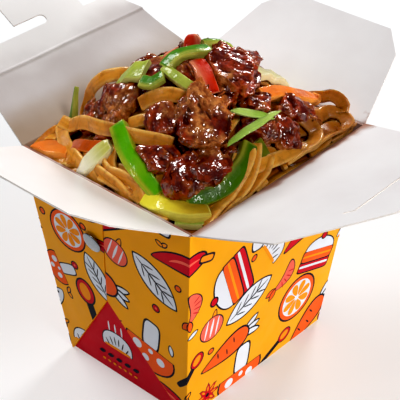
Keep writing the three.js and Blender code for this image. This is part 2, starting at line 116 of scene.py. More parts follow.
# place and target in millimetres, size across in millimetres, power in watts
lights = {
    "top": {
        "place": (0, 580, 760), "target": (0, 0, 100), "size": (300, 300),
        "power": 4.3, "tint": (1, 0.99, 0.985),
    },
    "near": {
        "place": (-160, -520, 690), "target": (0, 0, 100), "size": (200, 200),
        "power": 2.6, "tint": (1, 0.985, 0.975),
    },
    "left": {
        "place": (-680, 260, 480), "target": (0, 0, 100), "size": (70, 160),
        "power": 0.5, "tint": (1, 0.98, 0.96),
    },
    "right": {
        "place": (700, 220, 520), "target": (0, 0, 100), "size": (220, 220),
        "power": 4.0, "tint": (1, 0.985, 0.98),
    },
    "front": {
        "place": (300, -700, 70), "target": (0, -50, 60), "size": (320, 120),
        "power": 3.6, "tint": (1, 0.97, 0.93),
    },
}
contrast = {"black": 0.006, "points": ((0.06, 0.038), (0.2, 0.155), (0.5, 0.475))}


def addLights():
    for name, light in lights.items():
        lamp = bpy.data.lights.new(name, "AREA")
        lamp.shape = "RECTANGLE"
        lamp.size, lamp.size_y = (side * millimetre for side in light["size"])
        lamp.energy = light["power"]
        lamp.color = light["tint"]
        holder = bpy.data.objects.new(name, lamp)
        holder.location = Vector(light["place"]) * millimetre
        aim = Vector(light["target"]) - Vector(light["place"])
        holder.rotation_euler = aim.to_track_quat("-Z", "Y").to_euler()
        bpy.context.scene.collection.objects.link(holder)
    world = bpy.data.worlds.new("studio")
    world.use_nodes = True
    world.node_tree.nodes["Background"].inputs["Color"].default_value = (1, 1, 1, 1)
    world.node_tree.nodes["Background"].inputs["Strength"].default_value = 0.05
    bpy.context.scene.world = world
    view = bpy.context.scene.view_settings
    view.view_transform = "Standard"
    view.use_curve_mapping = True
    view.curve_mapping.black_level = (contrast["black"],) * 3
    for low, high in contrast["points"]:
        view.curve_mapping.curves[3].points.new(low, high)
    view.curve_mapping.update()


def srgb(code):
    channels = [int(code[i:i + 2], 16) / 255 for i in (0, 2, 4)]
    return tuple(c / 12.92 if c <= 0.04045 else ((c + 0.055) / 1.055) ** 2.4 for c in channels) + (1,)


class Finish:
    def __init__(self, name, roughness, **sockets):
        self.material = bpy.data.materials.new(name)
        self.material.use_nodes = True
        self.tree = self.material.node_tree
        self.shader = self.tree.nodes["Principled BSDF"]
        self.place = self.add("ShaderNodeTexCoord").outputs["Object"]
        for socket, value in dict(sockets, Roughness=roughness).items():
            self.shader.inputs[socket.replace("_", " ")].default_value = value

    def add(self, kind, **inputs):
        node = self.tree.nodes.new(kind)
        for name, value in inputs.items():
            self.link(node.inputs[name.replace("_", " ")], value)
        return node

    def link(self, socket, value):
        if isinstance(value, bpy.types.NodeSocket):
            self.tree.links.new(value, socket)
        else:
            socket.default_value = value

    def noise(self, scale, detail=3, roughness=0.5, place=None, stretch=None):
        place = place or self.place
        if stretch:
            place = self.add("ShaderNodeMapping", Vector=place, Scale=stretch).outputs["Vector"]
        node = self.add("ShaderNodeTexNoise", Vector=place, Scale=scale, Detail=detail, Roughness=roughness)
        return node.outputs["Fac"]

    def cells(self, scale):
        return self.add("ShaderNodeTexVoronoi", Vector=self.place, Scale=scale).outputs["Distance"]

    def range(self, value, low, high, outLow=0, outHigh=1):
        node = self.add("ShaderNodeMapRange", Value=value)
        node.interpolation_type = "SMOOTHSTEP"
        for name, number in zip(("From Min", "From Max", "To Min", "To Max"), (low, high, outLow, outHigh)):
            node.inputs[name].default_value = number
        return node.outputs["Result"]

    # a noise pattern, eased between two of its levels
    def patches(self, scale, detail, low, high, outLow=0, outHigh=1, **more):
        return self.range(self.noise(scale, detail, **more), low, high, outLow, outHigh)

    def maths(self, operation, first, second=0):
        node = self.add("ShaderNodeMath")
        node.operation = operation
        self.link(node.inputs[0], first)
        self.link(node.inputs[1], second)
        return node.outputs[0]

    def distance(self, first, second):
        node = self.add("ShaderNodeVectorMath")
        node.operation = "DISTANCE"
        self.link(node.inputs[0], first)
        self.link(node.inputs[1], second)
        return node.outputs["Value"]

    def blend(self, factor, first, second):
        node = self.add("ShaderNodeMix")
        node.data_type = "RGBA"
        self.link(node.inputs[0], factor)
        self.link(node.inputs[6], first)
        self.link(node.inputs[7], second)
        return node.outputs[2]

    # lays a colour over what there is so far, where the factor is high
    def cover(self, factor, code):
        self.body = self.blend(factor, self.body, srgb(code))

    def attribute(self, name, output="Fac"):
        node = self.add("ShaderNodeAttribute")
        node.attribute_name = name
        return node.outputs[output]

    def axis(self, vector, letter):
        return self.add("ShaderNodeSeparateXYZ", Vector=vector).outputs[letter]

    def colour(self, value):
        self.link(self.shader.inputs["Base Color"], value)

    def roughness(self, value):
        self.link(self.shader.inputs["Roughness"], value)

    def coat(self, value):
        self.link(self.shader.inputs["Coat Weight"], value)

    # the coat follows the same layers, or its own smoother ones
    def bump(self, *layers, coat=None):
        normal = self.bumped(layers)
        self.link(self.shader.inputs["Normal"], normal)
        self.link(self.shader.inputs["Coat Normal"], self.bumped(coat) if coat else normal)

    def bumped(self, layers):
        normal = None
        for height, distance in layers:
            node = self.add("ShaderNodeBump", Height=height, Distance=distance * millimetre)
            node.inputs["Strength"].default_value = 1
            if normal:
                self.link(node.inputs["Normal"], normal)
            normal = node.outputs["Normal"]
        return normal


def boardFinish(name, code, wear=0.06, roughness=0.42):
    finish = Finish(name, roughness, Specular_IOR_Level=0.05)
    base = srgb(code)
    shade = tuple(c * (1 - wear) for c in base[:3]) + (1,)
    finish.colour(finish.blend(finish.patches(55, 4, 0.35, 0.65), base, shade))
    finish.roughness(finish.patches(160, 3, 0.3, 0.7, roughness - 0.06, roughness + 0.08))
    finish.bump((finish.noise(700, 3), 0.03), (finish.noise(40, 2), 0.25))
    return finish.material


inks = {
    "ground": "f4ac1a", "crimson": "cc0424", "navy": "0d1024", "orange": "f0651e", "white": "e2e8f2",
    "salmon": "f0705c", "amber": "f39a12",
}


# sauce that has crept over the near crease, in uneven tongues
def rimFilm(finish):
    out = finish.maths("MULTIPLY", finish.axis(finish.place, "Y"), -1)
    farther = finish.range(finish.axis(finish.place, "X"), -0.035, 0.025, 0.3, 1)
    reach = finish.maths("MULTIPLY", finish.patches(34, 3, 0.36, 0.66, 0, 0.0068), farther)
    past = finish.maths("SUBTRACT", finish.maths("SUBTRACT", out, 0.0440), reach)
    return finish.range(past, -0.0016, 0.0034, 0.85, 0)


def cornerFilm(finish):
    away = finish.distance(finish.place, (0.0508, -0.0440, 0.1))
    reach = finish.patches(150, 3, 0.35, 0.65, 0.0015, 0.0075)
    return finish.range(finish.maths("SUBTRACT", away, reach), -0.002, 0.0025, 0.75, 0)


def creaseFilms(finish):
    return finish.maths("MAXIMUM", rimFilm(finish), cornerFilm(finish))


def wallFilm(finish):
    return finish.patches(60, 3, 0.36, 0.58, 0.35, 0.85)


# shades: painted shade by the crease and painted light far out, as colours on the way out from the crease,
# between distances in metres; film: where sauce lies, 0 to 1
def insideFinish(name, plain="ecebec", cool="e4e1e2", film=None, shades=None):
    finish = Finish(name, 0.36, Specular_IOR_Level=0.3)
    finish.place = finish.attribute("rest", "Vector")
    finish.body = finish.blend(finish.patches(28, 4, 0.3, 0.7), srgb(plain), srgb(cool))
    if shades:
        uneven = finish.maths("MULTIPLY", finish.maths("SUBTRACT", finish.noise(24, 3), 0.5), 0.03)
        out = finish.maths("ADD", finish.axis(finish.place, "Y"), uneven)
        # painted shade near the crease, where the heap's shadow falls, and painted light past the scored line
        finish.cover(finish.range(out, shades["from"], shades["middle"], 1, 0), shades["near"])
        finish.cover(finish.range(out, shades["past"], shades["end"]), shades["far"])
    if film:
        wet = film(finish)
        finish.cover(wet, "94501c")
        finish.roughness(finish.range(wet, 0, 1, 0.36, 0.12))
    finish.colour(finish.body)
    finish.bump((finish.noise(900, 3), 0.02), (finish.noise(60, 2), 0.12))
    return finish.material


def steelFinish():
    finish = Finish("brushed_clip_steel", 0.2, Metallic=1)
    streak = finish.noise(600, 3, stretch=(1, 0.15, 0.15))
    finish.colour(finish.blend(streak, srgb("707478"), srgb("b4b8bc")))
    finish.roughness(finish.range(streak, 0.3, 0.7, 0.16, 0.28))
    finish.bump((streak, 0.02))
    return finish.material


def noodleFinish():
    finish = Finish(
        "sauced_noodle", 0.3, Specular_IOR_Level=0.2, Coat_Roughness=0.07, Coat_IOR=1.5,
        Subsurface_Weight=0.3, Subsurface_Scale=0.0016, Subsurface_Radius=(1, 0.5, 0.12),
    )
    section = finish.attribute("section", "Vector")
    fromMiddle = finish.maths("ABSOLUTE", finish.axis(section, "X"))
    streaks = finish.noise(300, 3, place=section, stretch=(0.0045, 0.0045, 0.011))
    finish.body = finish.blend(finish.attribute("tone"), srgb("f8b042"), srgb("d88a26"))
    finish.cover(finish.range(streaks, 0.42, 0.66, 0, 0.38), "b4701c")
    # edges painted lighter, as a painted sheen
    finish.cover(finish.range(fromMiddle, 0.45, 0.95, 0, 0.6), "ffd07c")
    finish.cover(finish.patches(75, 4, 0.5, 0.74, 0, 0.55), "9a4e0c")
    finish.cover(finish.patches(340, 3, 0.5, 0.7, 0, 0.35), "8a4a10")
    finish.cover(finish.range(finish.axis(finish.place, "X"), -0.005, 0.045, 0, 0.66), "904a10")
    # noodles low in the pile painted darker, as painted shade
    finish.cover(finish.range(finish.attribute("paintedShadeDepth"), 0, 1, 0, 0.9), "66240a")
    finish.colour(finish.body)
    finish.roughness(finish.patches(240, 3, 0.3, 0.7, 0.24, 0.42))
    finish.coat(finish.patches(130, 3, 0.42, 0.6, 0.05, 0.42))
    finish.bump(
        (streaks, 0.14), (finish.noise(300, 3), 0.16), (finish.noise(1500, 2), 0.02),
        coat=((streaks, 0.1), (finish.noise(520, 2), 0.22)),
    )
    return finish.material


def sauceFinish():
    finish = Finish("dark_sauce", 0.2, Specular_IOR_Level=0.2, Coat_Weight=0.6, Coat_Roughness=0.06)
    finish.colour(finish.blend(finish.noise(120, 3), srgb("84380e"), srgb("b0641e")))
    finish.bump((finish.noise(120, 4), 2.0), (finish.noise(420, 3), 0.4))
    return finish.material


def meatFinish():
    finish = Finish("glazed_pork", 0.45, Specular_IOR_Level=0.13, Coat_Roughness=0.05, Coat_IOR=1.9)
    relief = finish.attribute("relief")
    lean = finish.range(finish.axis(finish.place, "X"), -0.042, -0.028, -0.12, 0)
    patch = finish.range(finish.maths("ADD", finish.noise(70, 3), lean), 0.5, 0.6)
    seared = finish.blend(finish.patches(420, 4, 0.4, 0.66, roughness=0.65), srgb("8c4416"), srgb("d08c4c"))
    glazed = finish.blend(finish.patches(300, 4, 0.4, 0.66, roughness=0.6), srgb("5c0e06"), srgb("a0340e"))
    finish.body = finish.blend(patch, glazed, seared)
    # raised parts painted lighter, partly seared caramel and partly a painted highlight; hollows darker,
    # partly sauce and partly painted shade
    finish.cover(finish.range(relief, 0.62, 0.95, 0, 0.35), "cc6c24")
    finish.cover(finish.range(relief, 0.22, 0.46, 0.95, 0), "460c06")
    finish.colour(finish.body)
    finish.roughness(finish.patches(260, 3, 0.3, 0.7, 0.35, 0.6))
    drops = finish.patches(430, 2, 0.455, 0.5, 0.05, 1, roughness=0.6)
    wet = finish.maths("MULTIPLY", finish.patches(105, 2, 0.32, 0.4), finish.range(relief, 0.24, 0.34))
    finish.coat(finish.maths("MULTIPLY", wet, drops))
    finish.bump(
        (finish.noise(620, 3, 0.6), 0.28), (finish.noise(420, 3, stretch=(1, 0.2, 0.6)), 0.3),
        (finish.cells(900), 0.1),
        coat=((finish.noise(330, 2), 0.5), (finish.noise(820, 2), 0.11)),
    )
    return finish.material


# skin shows on the strip's upper face, flesh on its cut sides and ends; side moves the skin over to one side
def plantFinish(
        name, skin, flesh, deep, gloss=0.28, veins=0, light=None, side=0, dry=0.5, wet=0.55, clouds=0.25,
):
    finish = Finish(
        name, gloss, Specular_IOR_Level=0.14, Coat_Roughness=0.05,
        Subsurface_Weight=0.2, Subsurface_Scale=0.0014, Subsurface_Radius=(0.8, 0.8, 0.2),
    )
    section = finish.attribute("section", "Vector")
    across, up, along = (finish.axis(section, letter) for letter in "XYZ")
    lean = finish.maths("ADD", up, finish.maths("MULTIPLY", across, side))
    fromMiddle = finish.maths("ABSOLUTE", finish.maths("SUBTRACT", along, 0.5))
    offEnds = finish.range(fromMiddle, 0.465, 0.49, 1, 0.1)
    onSkin = finish.maths("MULTIPLY", finish.range(lean, 0.55, 0.9), offEnds)
    streaks = finish.noise(300, 3, place=section, stretch=(0.011, 0.011, 0.004))
    fleshy = finish.blend(finish.range(streaks, 0.4, 0.65, 0, 0.4), srgb(flesh), srgb(skin))
    finish.body = finish.blend(onSkin, fleshy, srgb(skin))
    finish.cover(finish.patches(110, 4, 0.45, 0.75, 0, 0.6), deep)
    finish.cover(finish.patches(48, 3, 0.48, 0.72, 0, clouds), flesh)
    if light:
        finish.cover(finish.range(along, 0.15, 0.95, 1, 0), light)
    finish.cover(finish.range(finish.maths("ABSOLUTE", across), 0.8, 0.98, 0, 0.6), flesh)
    layers = [
        (finish.noise(160, 3), 0.4), (finish.noise(380, 4), 0.24), (finish.noise(900, 3), 0.09),
        (streaks, 0.16),
    ]
    if veins:
        lines = finish.maths("SINE", finish.maths("MULTIPLY", across, veins))
        finish.cover(finish.range(lines, 0.2, 1, 0, 0.18), flesh)
        layers.append((lines, 0.02))
    finish.colour(finish.body)
    finish.roughness(finish.patches(180, 3, 0.35, 0.7, gloss, gloss + 0.2))
    finish.coat(finish.patches(330, 3, dry, dry + 0.05, 0.04, wet))
    finish.bump(*layers, coat=((finish.noise(300, 2), 0.4),))
    return finish.material


def floorFinish():
    finish = Finish(
        "studio_floor", 0.8, Specular_IOR_Level=0.1, Emission_Strength=0.35, Emission_Color=(1, 1, 1, 1),
    )
    finish.colour(finish.blend(finish.noise(3, 2), srgb("c8cacc"), srgb("c2c5c8")))
    return finish.material


def copyNode(name):
    shape = bmesh.new()
    shape.from_mesh(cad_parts[name].data)
    bmesh.ops.scale(shape, vec=(1 / millimetre,) * 3, verts=shape.verts)
    bmesh.ops.remove_doubles(shape, verts=shape.verts, dist=0.002)
    return shape


def smoothShade(shape, sharpAngle):
    for face in shape.faces:
        face.smooth = True
    for edge in shape.edges:
        edge.smooth = len(edge.link_faces) == 2 and edge.calc_face_angle(0) < math.radians(sharpAngle)


# places at rest, so that what lies on a board stays there when the board bends
def keepPlaces(shape):
    rest = shape.verts.layers.float_vector.new("rest")
    for vert in shape.verts:
        vert[rest] = vert.co * millimetre

# node: the plain node that a piece stands for, which it hides
def addPiece(name, shape, materials, body="carton", node=None, sharpAngle=None):
    if sharpAngle is not None:
        smoothShade(shape, sharpAngle)
    mesh = bpy.data.meshes.new(name)
    shape.to_mesh(mesh)
    shape.free()
    if "custom_normal" in mesh.attributes:
        mesh.attributes.remove(mesh.attributes["custom_normal"])
    mesh.transform(Matrix.Scale(millimetre, 4))
    for material in materials:
        mesh.materials.append(material)
    piece = bpy.data.objects.new(name, mesh)
    bpy.context.scene.collection.objects.link(piece)
    if body:
        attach(piece, body)
    if node:
        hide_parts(node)
    return piece


def joinInto(whole, part):
    mesh = bpy.data.meshes.new("part")
    part.to_mesh(mesh)
    part.free()
    whole.from_mesh(mesh)
    bpy.data.meshes.remove(mesh)


# the wall that faces side (-1 or 1) along axis; x runs sideways as seen from outside, y up the slope
def wallFrame(axis, side):
    foot, across, rise = Vector(), Vector(), Vector((0, 0, carton["height"]))
    foot[axis] = side * carton["baseHalf"][axis]
    across[1 - axis] = side * (1 - 2 * axis)
    rise[axis] = side * (carton["rimHalf"][axis] - carton["baseHalf"][axis])
    rise.normalize()
    turn = Matrix((across, rise, across.cross(rise))).transposed().to_4x4()
    return Matrix.Translation(foot) @ turn


wallLengths = [
    math.hypot(carton["height"], rim - base) for base, rim in zip(carton["baseHalf"], carton["rimHalf"])
]


# finishes: 0 printed ground, 1 the bare triangles, 2 the unprinted inside and the rim
def boardSide(face, outwards):
    centre = face.calc_center_median()
    halfX, halfY = (halfAt(axis, centre.z / carton["height"]) for axis in (0, 1))
    within = abs(centre.x) < halfX - 1.5 and abs(centre.y) < halfY - 0.5
    if within and (face.normal.z > 0.9 or face.normal.dot(Vector((centre.x, centre.y, 0))) < 0):
        return 2
    for wall in outwards:
        facing = face.normal.dot(wall.to_3x3().col[2])
        if facing > 0.99 and abs((wall.inverted() @ centre).z + carton["gusset"]) < 0.1:
            return 1
    return 2 if face.normal.z > 0.9 and centre.z > carton["height"] - 1 else 0


def onCorner(vert):
    level = vert.co.z / carton["height"]
    return all(abs(abs(vert.co[axis]) - halfAt(axis, level)) < 0.1 for axis in (0, 1))


def makeCarton():
    shape = copyNode("carton")
    bmesh.ops.dissolve_limit(shape, angle_limit=0.01, verts=shape.verts, edges=shape.edges)
    folds = [edge for edge in shape.edges if all(onCorner(v) for v in edge.verts)]
    folds = [edge for edge in folds if edge.calc_length() > 20 and min(v.co.z for v in edge.verts) < 1]
    bmesh.ops.bevel(
        shape, geom=folds, offset=carton["foldRadius"], offset_type="OFFSET", affect="EDGES",
        segments=3, profile=0.5, material=-1,
    )
    shape.normal_update()
    outwards = [wallFrame(0, side) for side in (-1, 1)]
    for face in shape.faces:
        face.material_index = boardSide(face, outwards)
    keepPlaces(shape)
    materials = [boardInks["ground"], boardInks["crimson"], insideWall]
    addPiece("carton_board", shape, materials, node="carton", sharpAngle=30)


# domed steel clip through each end wall's folded gusset; at: sideways and up on the wall
clip = {"at": (-8.3, 71.6), "turn": -20, "half": (4.7, 3.6, 0.85), "out": 1.15, "flatness": 0.9}


def makeClips():
    halfX, halfY, halfZ = clip["half"]
    for side, name in ((-1, "fastener_left"), (1, "fastener_right")):
        shape = bmesh.new()
        bmesh.ops.create_uvsphere(shape, u_segments=48, v_segments=24, radius=1)
        for vert in shape.verts:
            x, y, z = vert.co
            vert.co = (x * halfX, y * halfY, math.copysign(abs(z) ** clip["flatness"], z) * halfZ)
        place = wallFrame(0, side) @ Matrix.Translation((*clip["at"], clip["out"]))
        place = place @ Matrix.Rotation(math.radians(clip["turn"]), 4, "Z")
        bmesh.ops.transform(shape, matrix=place, verts=shape.verts)
        addPiece(name + "_clip", shape, [steel], node=name, sharpAngle=60)


# print: each motif is drawn flat on a sheet, cut at the panel's edges and laid on the board
motifSheet = {
    "pitch": (21.5, 19.5), "jitter": 1.6, "outline": 0.6, "sizes": (1.45, 0.92), "layer": 0.008, "sides": 30,
    "reach": 95, "gap": 0.7,
    "fits": [(shrink, swing) for shrink in (1, 0.85, 0.7) for swing in (0, 35, 70, 105, 140)],
}
plainBlob = {
    "turn": 0, "line": True, "squareness": 2, "bend": 0, "taper": 0, "cut": None, "petals": 0, "point": 0,
}


def blob(x, y, halfWidth, halfHeight, ink, **shape):
    return dict(plainBlob, x=x, y=y, half=(halfWidth, halfHeight), ink=ink, **shape)


# a blob without an outline
def mark(x, y, halfWidth, halfHeight, ink, **shape):
    return blob(x, y, halfWidth, halfHeight, ink, line=False, **shape)


def around(count, radius, make, start=0):
    return [make(radius * math.cos(a), radius * math.sin(a), math.degrees(a))
            for a in (start + 2 * math.pi * i / count for i in range(count))]


motifs = {
    "chilli": [
        blob(0, 0, 9.5, 2.6, "crimson", bend=-0.9, taper=0.45),
        mark(2, 0.6, 5.5, 0.45, "salmon", bend=-1.3),
        blob(9.6, -2.8, 2.4, 0.9, "amber", turn=-38, squareness=4),
    ],
    "mushroom": [
        blob(0, -4.6, 2.7, 5.2, "white", squareness=4),
        blob(0, 2.2, 8.8, 7.2, "orange", cut=-0.3),
        *[mark(x, y, r, r, "white")
          for x, y, r in ((-4.2, 3.4, 1.5), (1.2, 5.6, 1.3), (4.6, 2.4, 1.7), (-0.4, 1.8, 0.9))],
    ],
    "dumpling": [
        blob(0, 0, 9.2, 7.6, "white", cut=-0.35, squareness=2.3),
        *[mark(x, 2.6 - 0.09 * x * x, 0.35, 2.5, "navy", turn=-5 * x)
          for x in (-6, -3.6, -1.2, 1.2, 3.6, 6)],
        mark(0, -2.2, 8.2, 0.8, "amber", squareness=4),
    ],
    "prawn": [
        blob(0, 0, 8.2, 3.1, "salmon", bend=3.4, taper=0.5),
        *[mark(x, -1.1 + 0.055 * x * x, 0.3, 2.2, "crimson", turn=8 * x)
          for x in (-3.6, -1.2, 1.4, 4.0)],
        blob(-9.4, 4.9, 3.0, 1.3, "orange", turn=150, point=0.8),
        blob(-9.6, 2.7, 3.0, 1.3, "orange", turn=190, point=0.8),
    ],
    "citrus": [
        blob(0, 0, 7.6, 7.6, "orange"),
        mark(0, 0, 6.3, 6.3, "white"),
        *around(8, 3.4, lambda x, y, a: mark(x, y, 2.5, 1.15, "amber", turn=a, taper=0.45)),
    ],
    "anise": [
        blob(0, 0, 7.2, 7.2, "crimson", petals=8),
        *around(8, 3.9, lambda x, y, a: mark(x, y, 1.5, 0.55, "amber", turn=a)),
        mark(0, 0, 1.1, 1.1, "navy"),
    ],
    "leaf": [
        blob(0, 0, 9.2, 4.2, "white", point=0.7),
        mark(0, 0, 8.2, 0.3, "navy"),
        *[mark(x, s * 1.5, 1.9, 0.22, "navy", turn=s * 38)
          for x in (-4, -1, 2, 4.6) for s in (-1, 1)],
    ],
    "carrot": [
        *[blob(10.4, y, 3.4, 0.9, "white", turn=t, point=0.4) for y, t in ((1.7, 24), (0, 0), (-1.7, -24))],
        blob(0, 0, 9.4, 3.4, "orange", taper=0.6),
        *[mark(x, y, 0.25, 1.2, "navy") for x, y in ((-3, 0.8), (0.5, -0.9), (3.6, 1.3))],
    ],
    "onion": [
        blob(0, 5.6, 1.2, 3.6, "amber", point=0.5),
        blob(0, -0.5, 6.8, 6.2, "salmon"),
        *[mark(x, -0.3, w, 5.3, "white", point=0.6)
          for x, w in ((-3.4, 0.5), (0, 0.7), (3.4, 0.5))],
    ],
    "steamer": [
        blob(0, -4.6, 10.6, 2.6, "crimson", squareness=7),
        mark(0, -4.6, 10.4, 0.6, "white", squareness=7),
        blob(0, 0.2, 10.6, 2.6, "orange", squareness=7),
        mark(0, 0.2, 10.4, 0.5, "amber", squareness=7),
        blob(0, 2.9, 10.0, 5.6, "white", cut=0.0),
        blob(0, 9.2, 1.5, 1.3, "crimson"),
    ],
    "fish": [
        blob(-9.3, 0, 3.4, 3.6, "crimson", taper=-0.75),
        blob(0, 0, 9.0, 4.0, "white", point=0.35),
        *[mark(x, 0, 0.4, w, "navy") for x, w in ((-3.2, 2.6), (-0.8, 3.1), (1.6, 3.0))],
        mark(5.3, 0.8, 0.7, 0.7, "navy"),
    ],
    "ladle": [
        blob(-2.2, 0, 8.2, 0.9, "navy", squareness=5),
        blob(7.6, 0, 4.0, 3.2, "crimson"),
        mark(7.6, 0.2, 2.9, 2.0, "amber"),
    ],
}

smallMotifs = [
    [blob(0, 0, 1.5, 1.5, "crimson"), mark(0, 0, 0.55, 0.5, "salmon")],
    [blob(0, 0, 2.6, 0.9, "white", point=0.5)],
    [blob(0, 0, 1.3, 1.1, "orange")],
    [blob(s * 1.2, 0, 1.6, 0.7, "amber", turn=-s * 30, point=0.4) for s in (-1, 1)],
]

inkOrder = ["navy", "crimson", "orange", "white", "salmon", "amber"]


def warp(x, y, spot):
    x, y = squared(x, y, spot["squareness"])
    if spot["petals"]:
        reach = 0.74 + 0.26 * math.cos(spot["petals"] * math.atan2(y, x))
        x, y = x * reach, y * reach
    if spot["point"]:
        y *= (1 - min(1, x * x)) ** (spot["point"] / 2)
    if spot["cut"] is not None:
        y = max(y, spot["cut"])
    y *= 1 + spot["taper"] * x
    return x, y


def drawSpot(shape, spot, place, level, grow, ink):
    made = bmesh.ops.create_circle(shape, cap_ends=True, segments=motifSheet["sides"], radius=1)
    angle = math.radians(spot["turn"])
    for vert in made["verts"]:
        x, y = warp(vert.co.x, vert.co.y, spot)
        x *= spot["half"][0] + grow
        y = y * (spot["half"][1] + grow) + spot["bend"] * (x / spot["half"][0]) ** 2
        turned = (x * math.cos(angle) - y * math.sin(angle), x * math.sin(angle) + y * math.cos(angle))
        onSheet = Vector((spot["x"] + turned[0], spot["y"] + turned[1], level * motifSheet["layer"]))
        vert.co = place @ onSheet
    for face in {face for vert in made["verts"] for face in vert.link_faces}:
        face.material_index = inkOrder.index(ink)


def drawMotif(spots, place):
    shape = bmesh.new()
    level = 0
    for spot in spots:
        if spot["line"]:
            level += 1
            drawSpot(shape, spot, place, level, motifSheet["outline"], "navy")
        level += 1
        drawSpot(shape, spot, place, level, 0, spot["ink"])
    return shape


# corners: the panel's convex outline, in the same plane as the drawing
def cutToPanel(shape, corners, outward):
    for here, after in zip(corners, corners[1:] + corners[:1]):
        aside = (after - here).cross(outward)
        geometry = shape.verts[:] + shape.edges[:] + shape.faces[:]
        bmesh.ops.bisect_plane(shape, geom=geometry, plane_co=here, plane_no=aside, clear_outer=True)


# share of a wall's height that is printed: from just over the table to where the flaps' board covers it
printedShare = (0.003, 0.983)

# an outline on a wall as corners in space, and the way the wall faces
def onWall(wall, outline):
    return [wall @ Vector((x, y, 0)) for x, y in outline], wall.to_3x3().col[2]


def sidePlacing(side):
    wall = wallFrame(1, side)
    base, rim = (halfAt(0, share) for share in printedShare)
    foot, top = (share * wallLengths[1] for share in printedShare)
    return wall, *onWall(wall, [(-base, foot), (base, foot), (rim, top), (-rim, top)])


# the sheet runs on round the corner, so it is turned flat about the fold between the walls
def gussetPlacing(side, along):
    corner = Vector((along * carton["baseHalf"][0], 0))
    up = (Vector((along * carton["rimHalf"][0], wallLengths[1])) - corner).normalized()
    aside = along * Vector((up.y, -up.x))
    end = -along
    foot = Vector((end * carton["baseHalf"][1], 0))
    upEnd = (Vector((end * carton["rimHalf"][1], wallLengths[0])) - foot).normalized()
    inwards = -end * Vector((upEnd.y, -upEnd.x))
    turn = Matrix((upEnd, inwards)).transposed() @ Matrix((up, aside))
    flat = turn.to_4x4()
    flat.translation = (*(foot - turn @ corner), 0)
    wall = wallFrame(0, -side * along)
    base, rim = (halfAt(1, share) for share in printedShare)
    low, high = (share * wallLengths[0] for share in printedShare)
    outline = [
        (end * base, low), (end * carton["triangleHalf"], low), carton["apex"], (0, high), (end * rim, high),
    ]
    if end > 0:
        outline.reverse()
    return wall @ flat, *onWall(wall, outline)


# circles that cover a placed motif, by which motifs are kept apart
def coverCircles(spots, x, y, turn, size):
    circles = []
    for spot in spots:
        radius = min(spot["half"])
        run = max(spot["half"]) - radius
        lean = math.radians(spot["turn"] + (90 if spot["half"][1] > spot["half"][0] else 0))
        for share in (-1, -0.6, -0.2, 0.2, 0.6, 1):
            across = spot["x"] + share * run * math.cos(lean)
            along = spot["y"] + share * run * math.sin(lean)
            angle = math.atan2(along, across) + math.radians(turn)
            away = size * math.hypot(across, along)
            circles.append((x + away * math.cos(angle), y + away * math.sin(angle), radius * size))
    return circles


# turns or shrinks each motif until it lies clear of those before it, or leaves it out
def keepApart(placed):
    kept, taken = [], []
    for spots, x, y, turn, size in placed:
        for shrink, swing in motifSheet["fits"]:
            tried = (spots, x, y, turn + swing, size * shrink)
            circles = coverCircles(*tried)
            gap = motifSheet["gap"]
            if all(math.hypot(a - c, b - d) > r + s + gap for a, b, r in circles for c, d, s in taken):
                kept.append(tried)
                taken += circles
                break
    return kept


def sheetMotifs(width, height, seed):
    draw = random.Random(seed)
    pitchX, pitchY = motifSheet["pitch"]
    order = list(motifs)
    draw.shuffle(order)
    columns, rows = math.ceil(width / pitchX) + 1, math.ceil(height / pitchY) + 1
    placed, between = [], []
    index = 0
    for row in range(rows):
        for column in range(columns):
            x = (column - (columns - 1) / 2 + 0.5 * (row % 2)) * pitchX
            x += draw.uniform(-1, 1) * motifSheet["jitter"]
            y = (row + 0.3) * pitchY + draw.uniform(-1, 1) * motifSheet["jitter"]
            size = motifSheet["sizes"][(row + column) % 2]
            placed.append((motifs[order[index % len(order)]], x, y, draw.uniform(-65, 65), size))
            gapX, gapY = x + pitchX / 2 + draw.uniform(-1, 1), y + draw.uniform(4, 7)
            small = smallMotifs[draw.randrange(len(smallMotifs))]
            between.append((small, gapX, gapY, draw.uniform(0, 180), 1))
            index += 5
        index += 1
    return keepApart(placed + between)


def layPrint(whole, placed, panels):
    for spots, x, y, turn, size in placed:
        turned = Matrix.Rotation(math.radians(turn), 4, "Z") @ Matrix.Scale(size, 4)
        sheetPlace = Matrix.Translation((x, y, 0)) @ turned
        for placing, corners, outward in panels:
            centre = placing @ Vector((x, y, 0))
            middle = sum(corners, Vector()) / len(corners)
            if (centre - middle).length <= motifSheet["reach"]:
                shape = drawMotif(spots, placing @ sheetPlace)
                cutToPanel(shape, corners, outward)
                joinInto(whole, shape)


def addPrint(name, whole, body="carton"):
    addPiece(name, whole, [boardInks[ink] for ink in inkOrder], body=body)


def dropLoose(shape):
    bmesh.ops.delete(shape, geom=[v for v in shape.verts if not v.link_faces], context="VERTS")


# the bare triangle's emblem: a steaming dumpling over two rows of leaves and seeds
emblem = [
    *[mark(x, 10.5, 0.5, 3.0, "white", bend=b) for x, b in ((-4, 0), (0, 0), (4, 0))],
    *motifs["dumpling"],
    *[mark(5.4 * i, -9.0, 2.2, 1.2, "navy", turn=20, point=0.6) for i in (-2, -1, 0, 1, 2)],
    *[mark(3.4 * i, -13.4, 1.0, 0.7, "amber") for i in (-3, -2, -1, 0, 1, 2, 3)],
]
emblemPlace = {"at": (-4.5, 17), "size": 0.9}


def makeEmblem(whole):
    for side in (-1, 1):
        place = wallFrame(0, side) @ Matrix.Translation((*emblemPlace["at"], -carton["gusset"]))
        joinInto(whole, drawMotif(emblem, place @ Matrix.Scale(emblemPlace["size"], 4)))


def makePrint():
    whole = bmesh.new()
    makeEmblem(whole)
    for side in (-1, 1):
        panels = [sidePlacing(side), gussetPlacing(side, 1), gussetPlacing(side, -1)]
        layPrint(whole, sheetMotifs(190, carton["height"], 20 + side), panels)
    dropLoose(whole)
    addPrint("carton_print", whole)


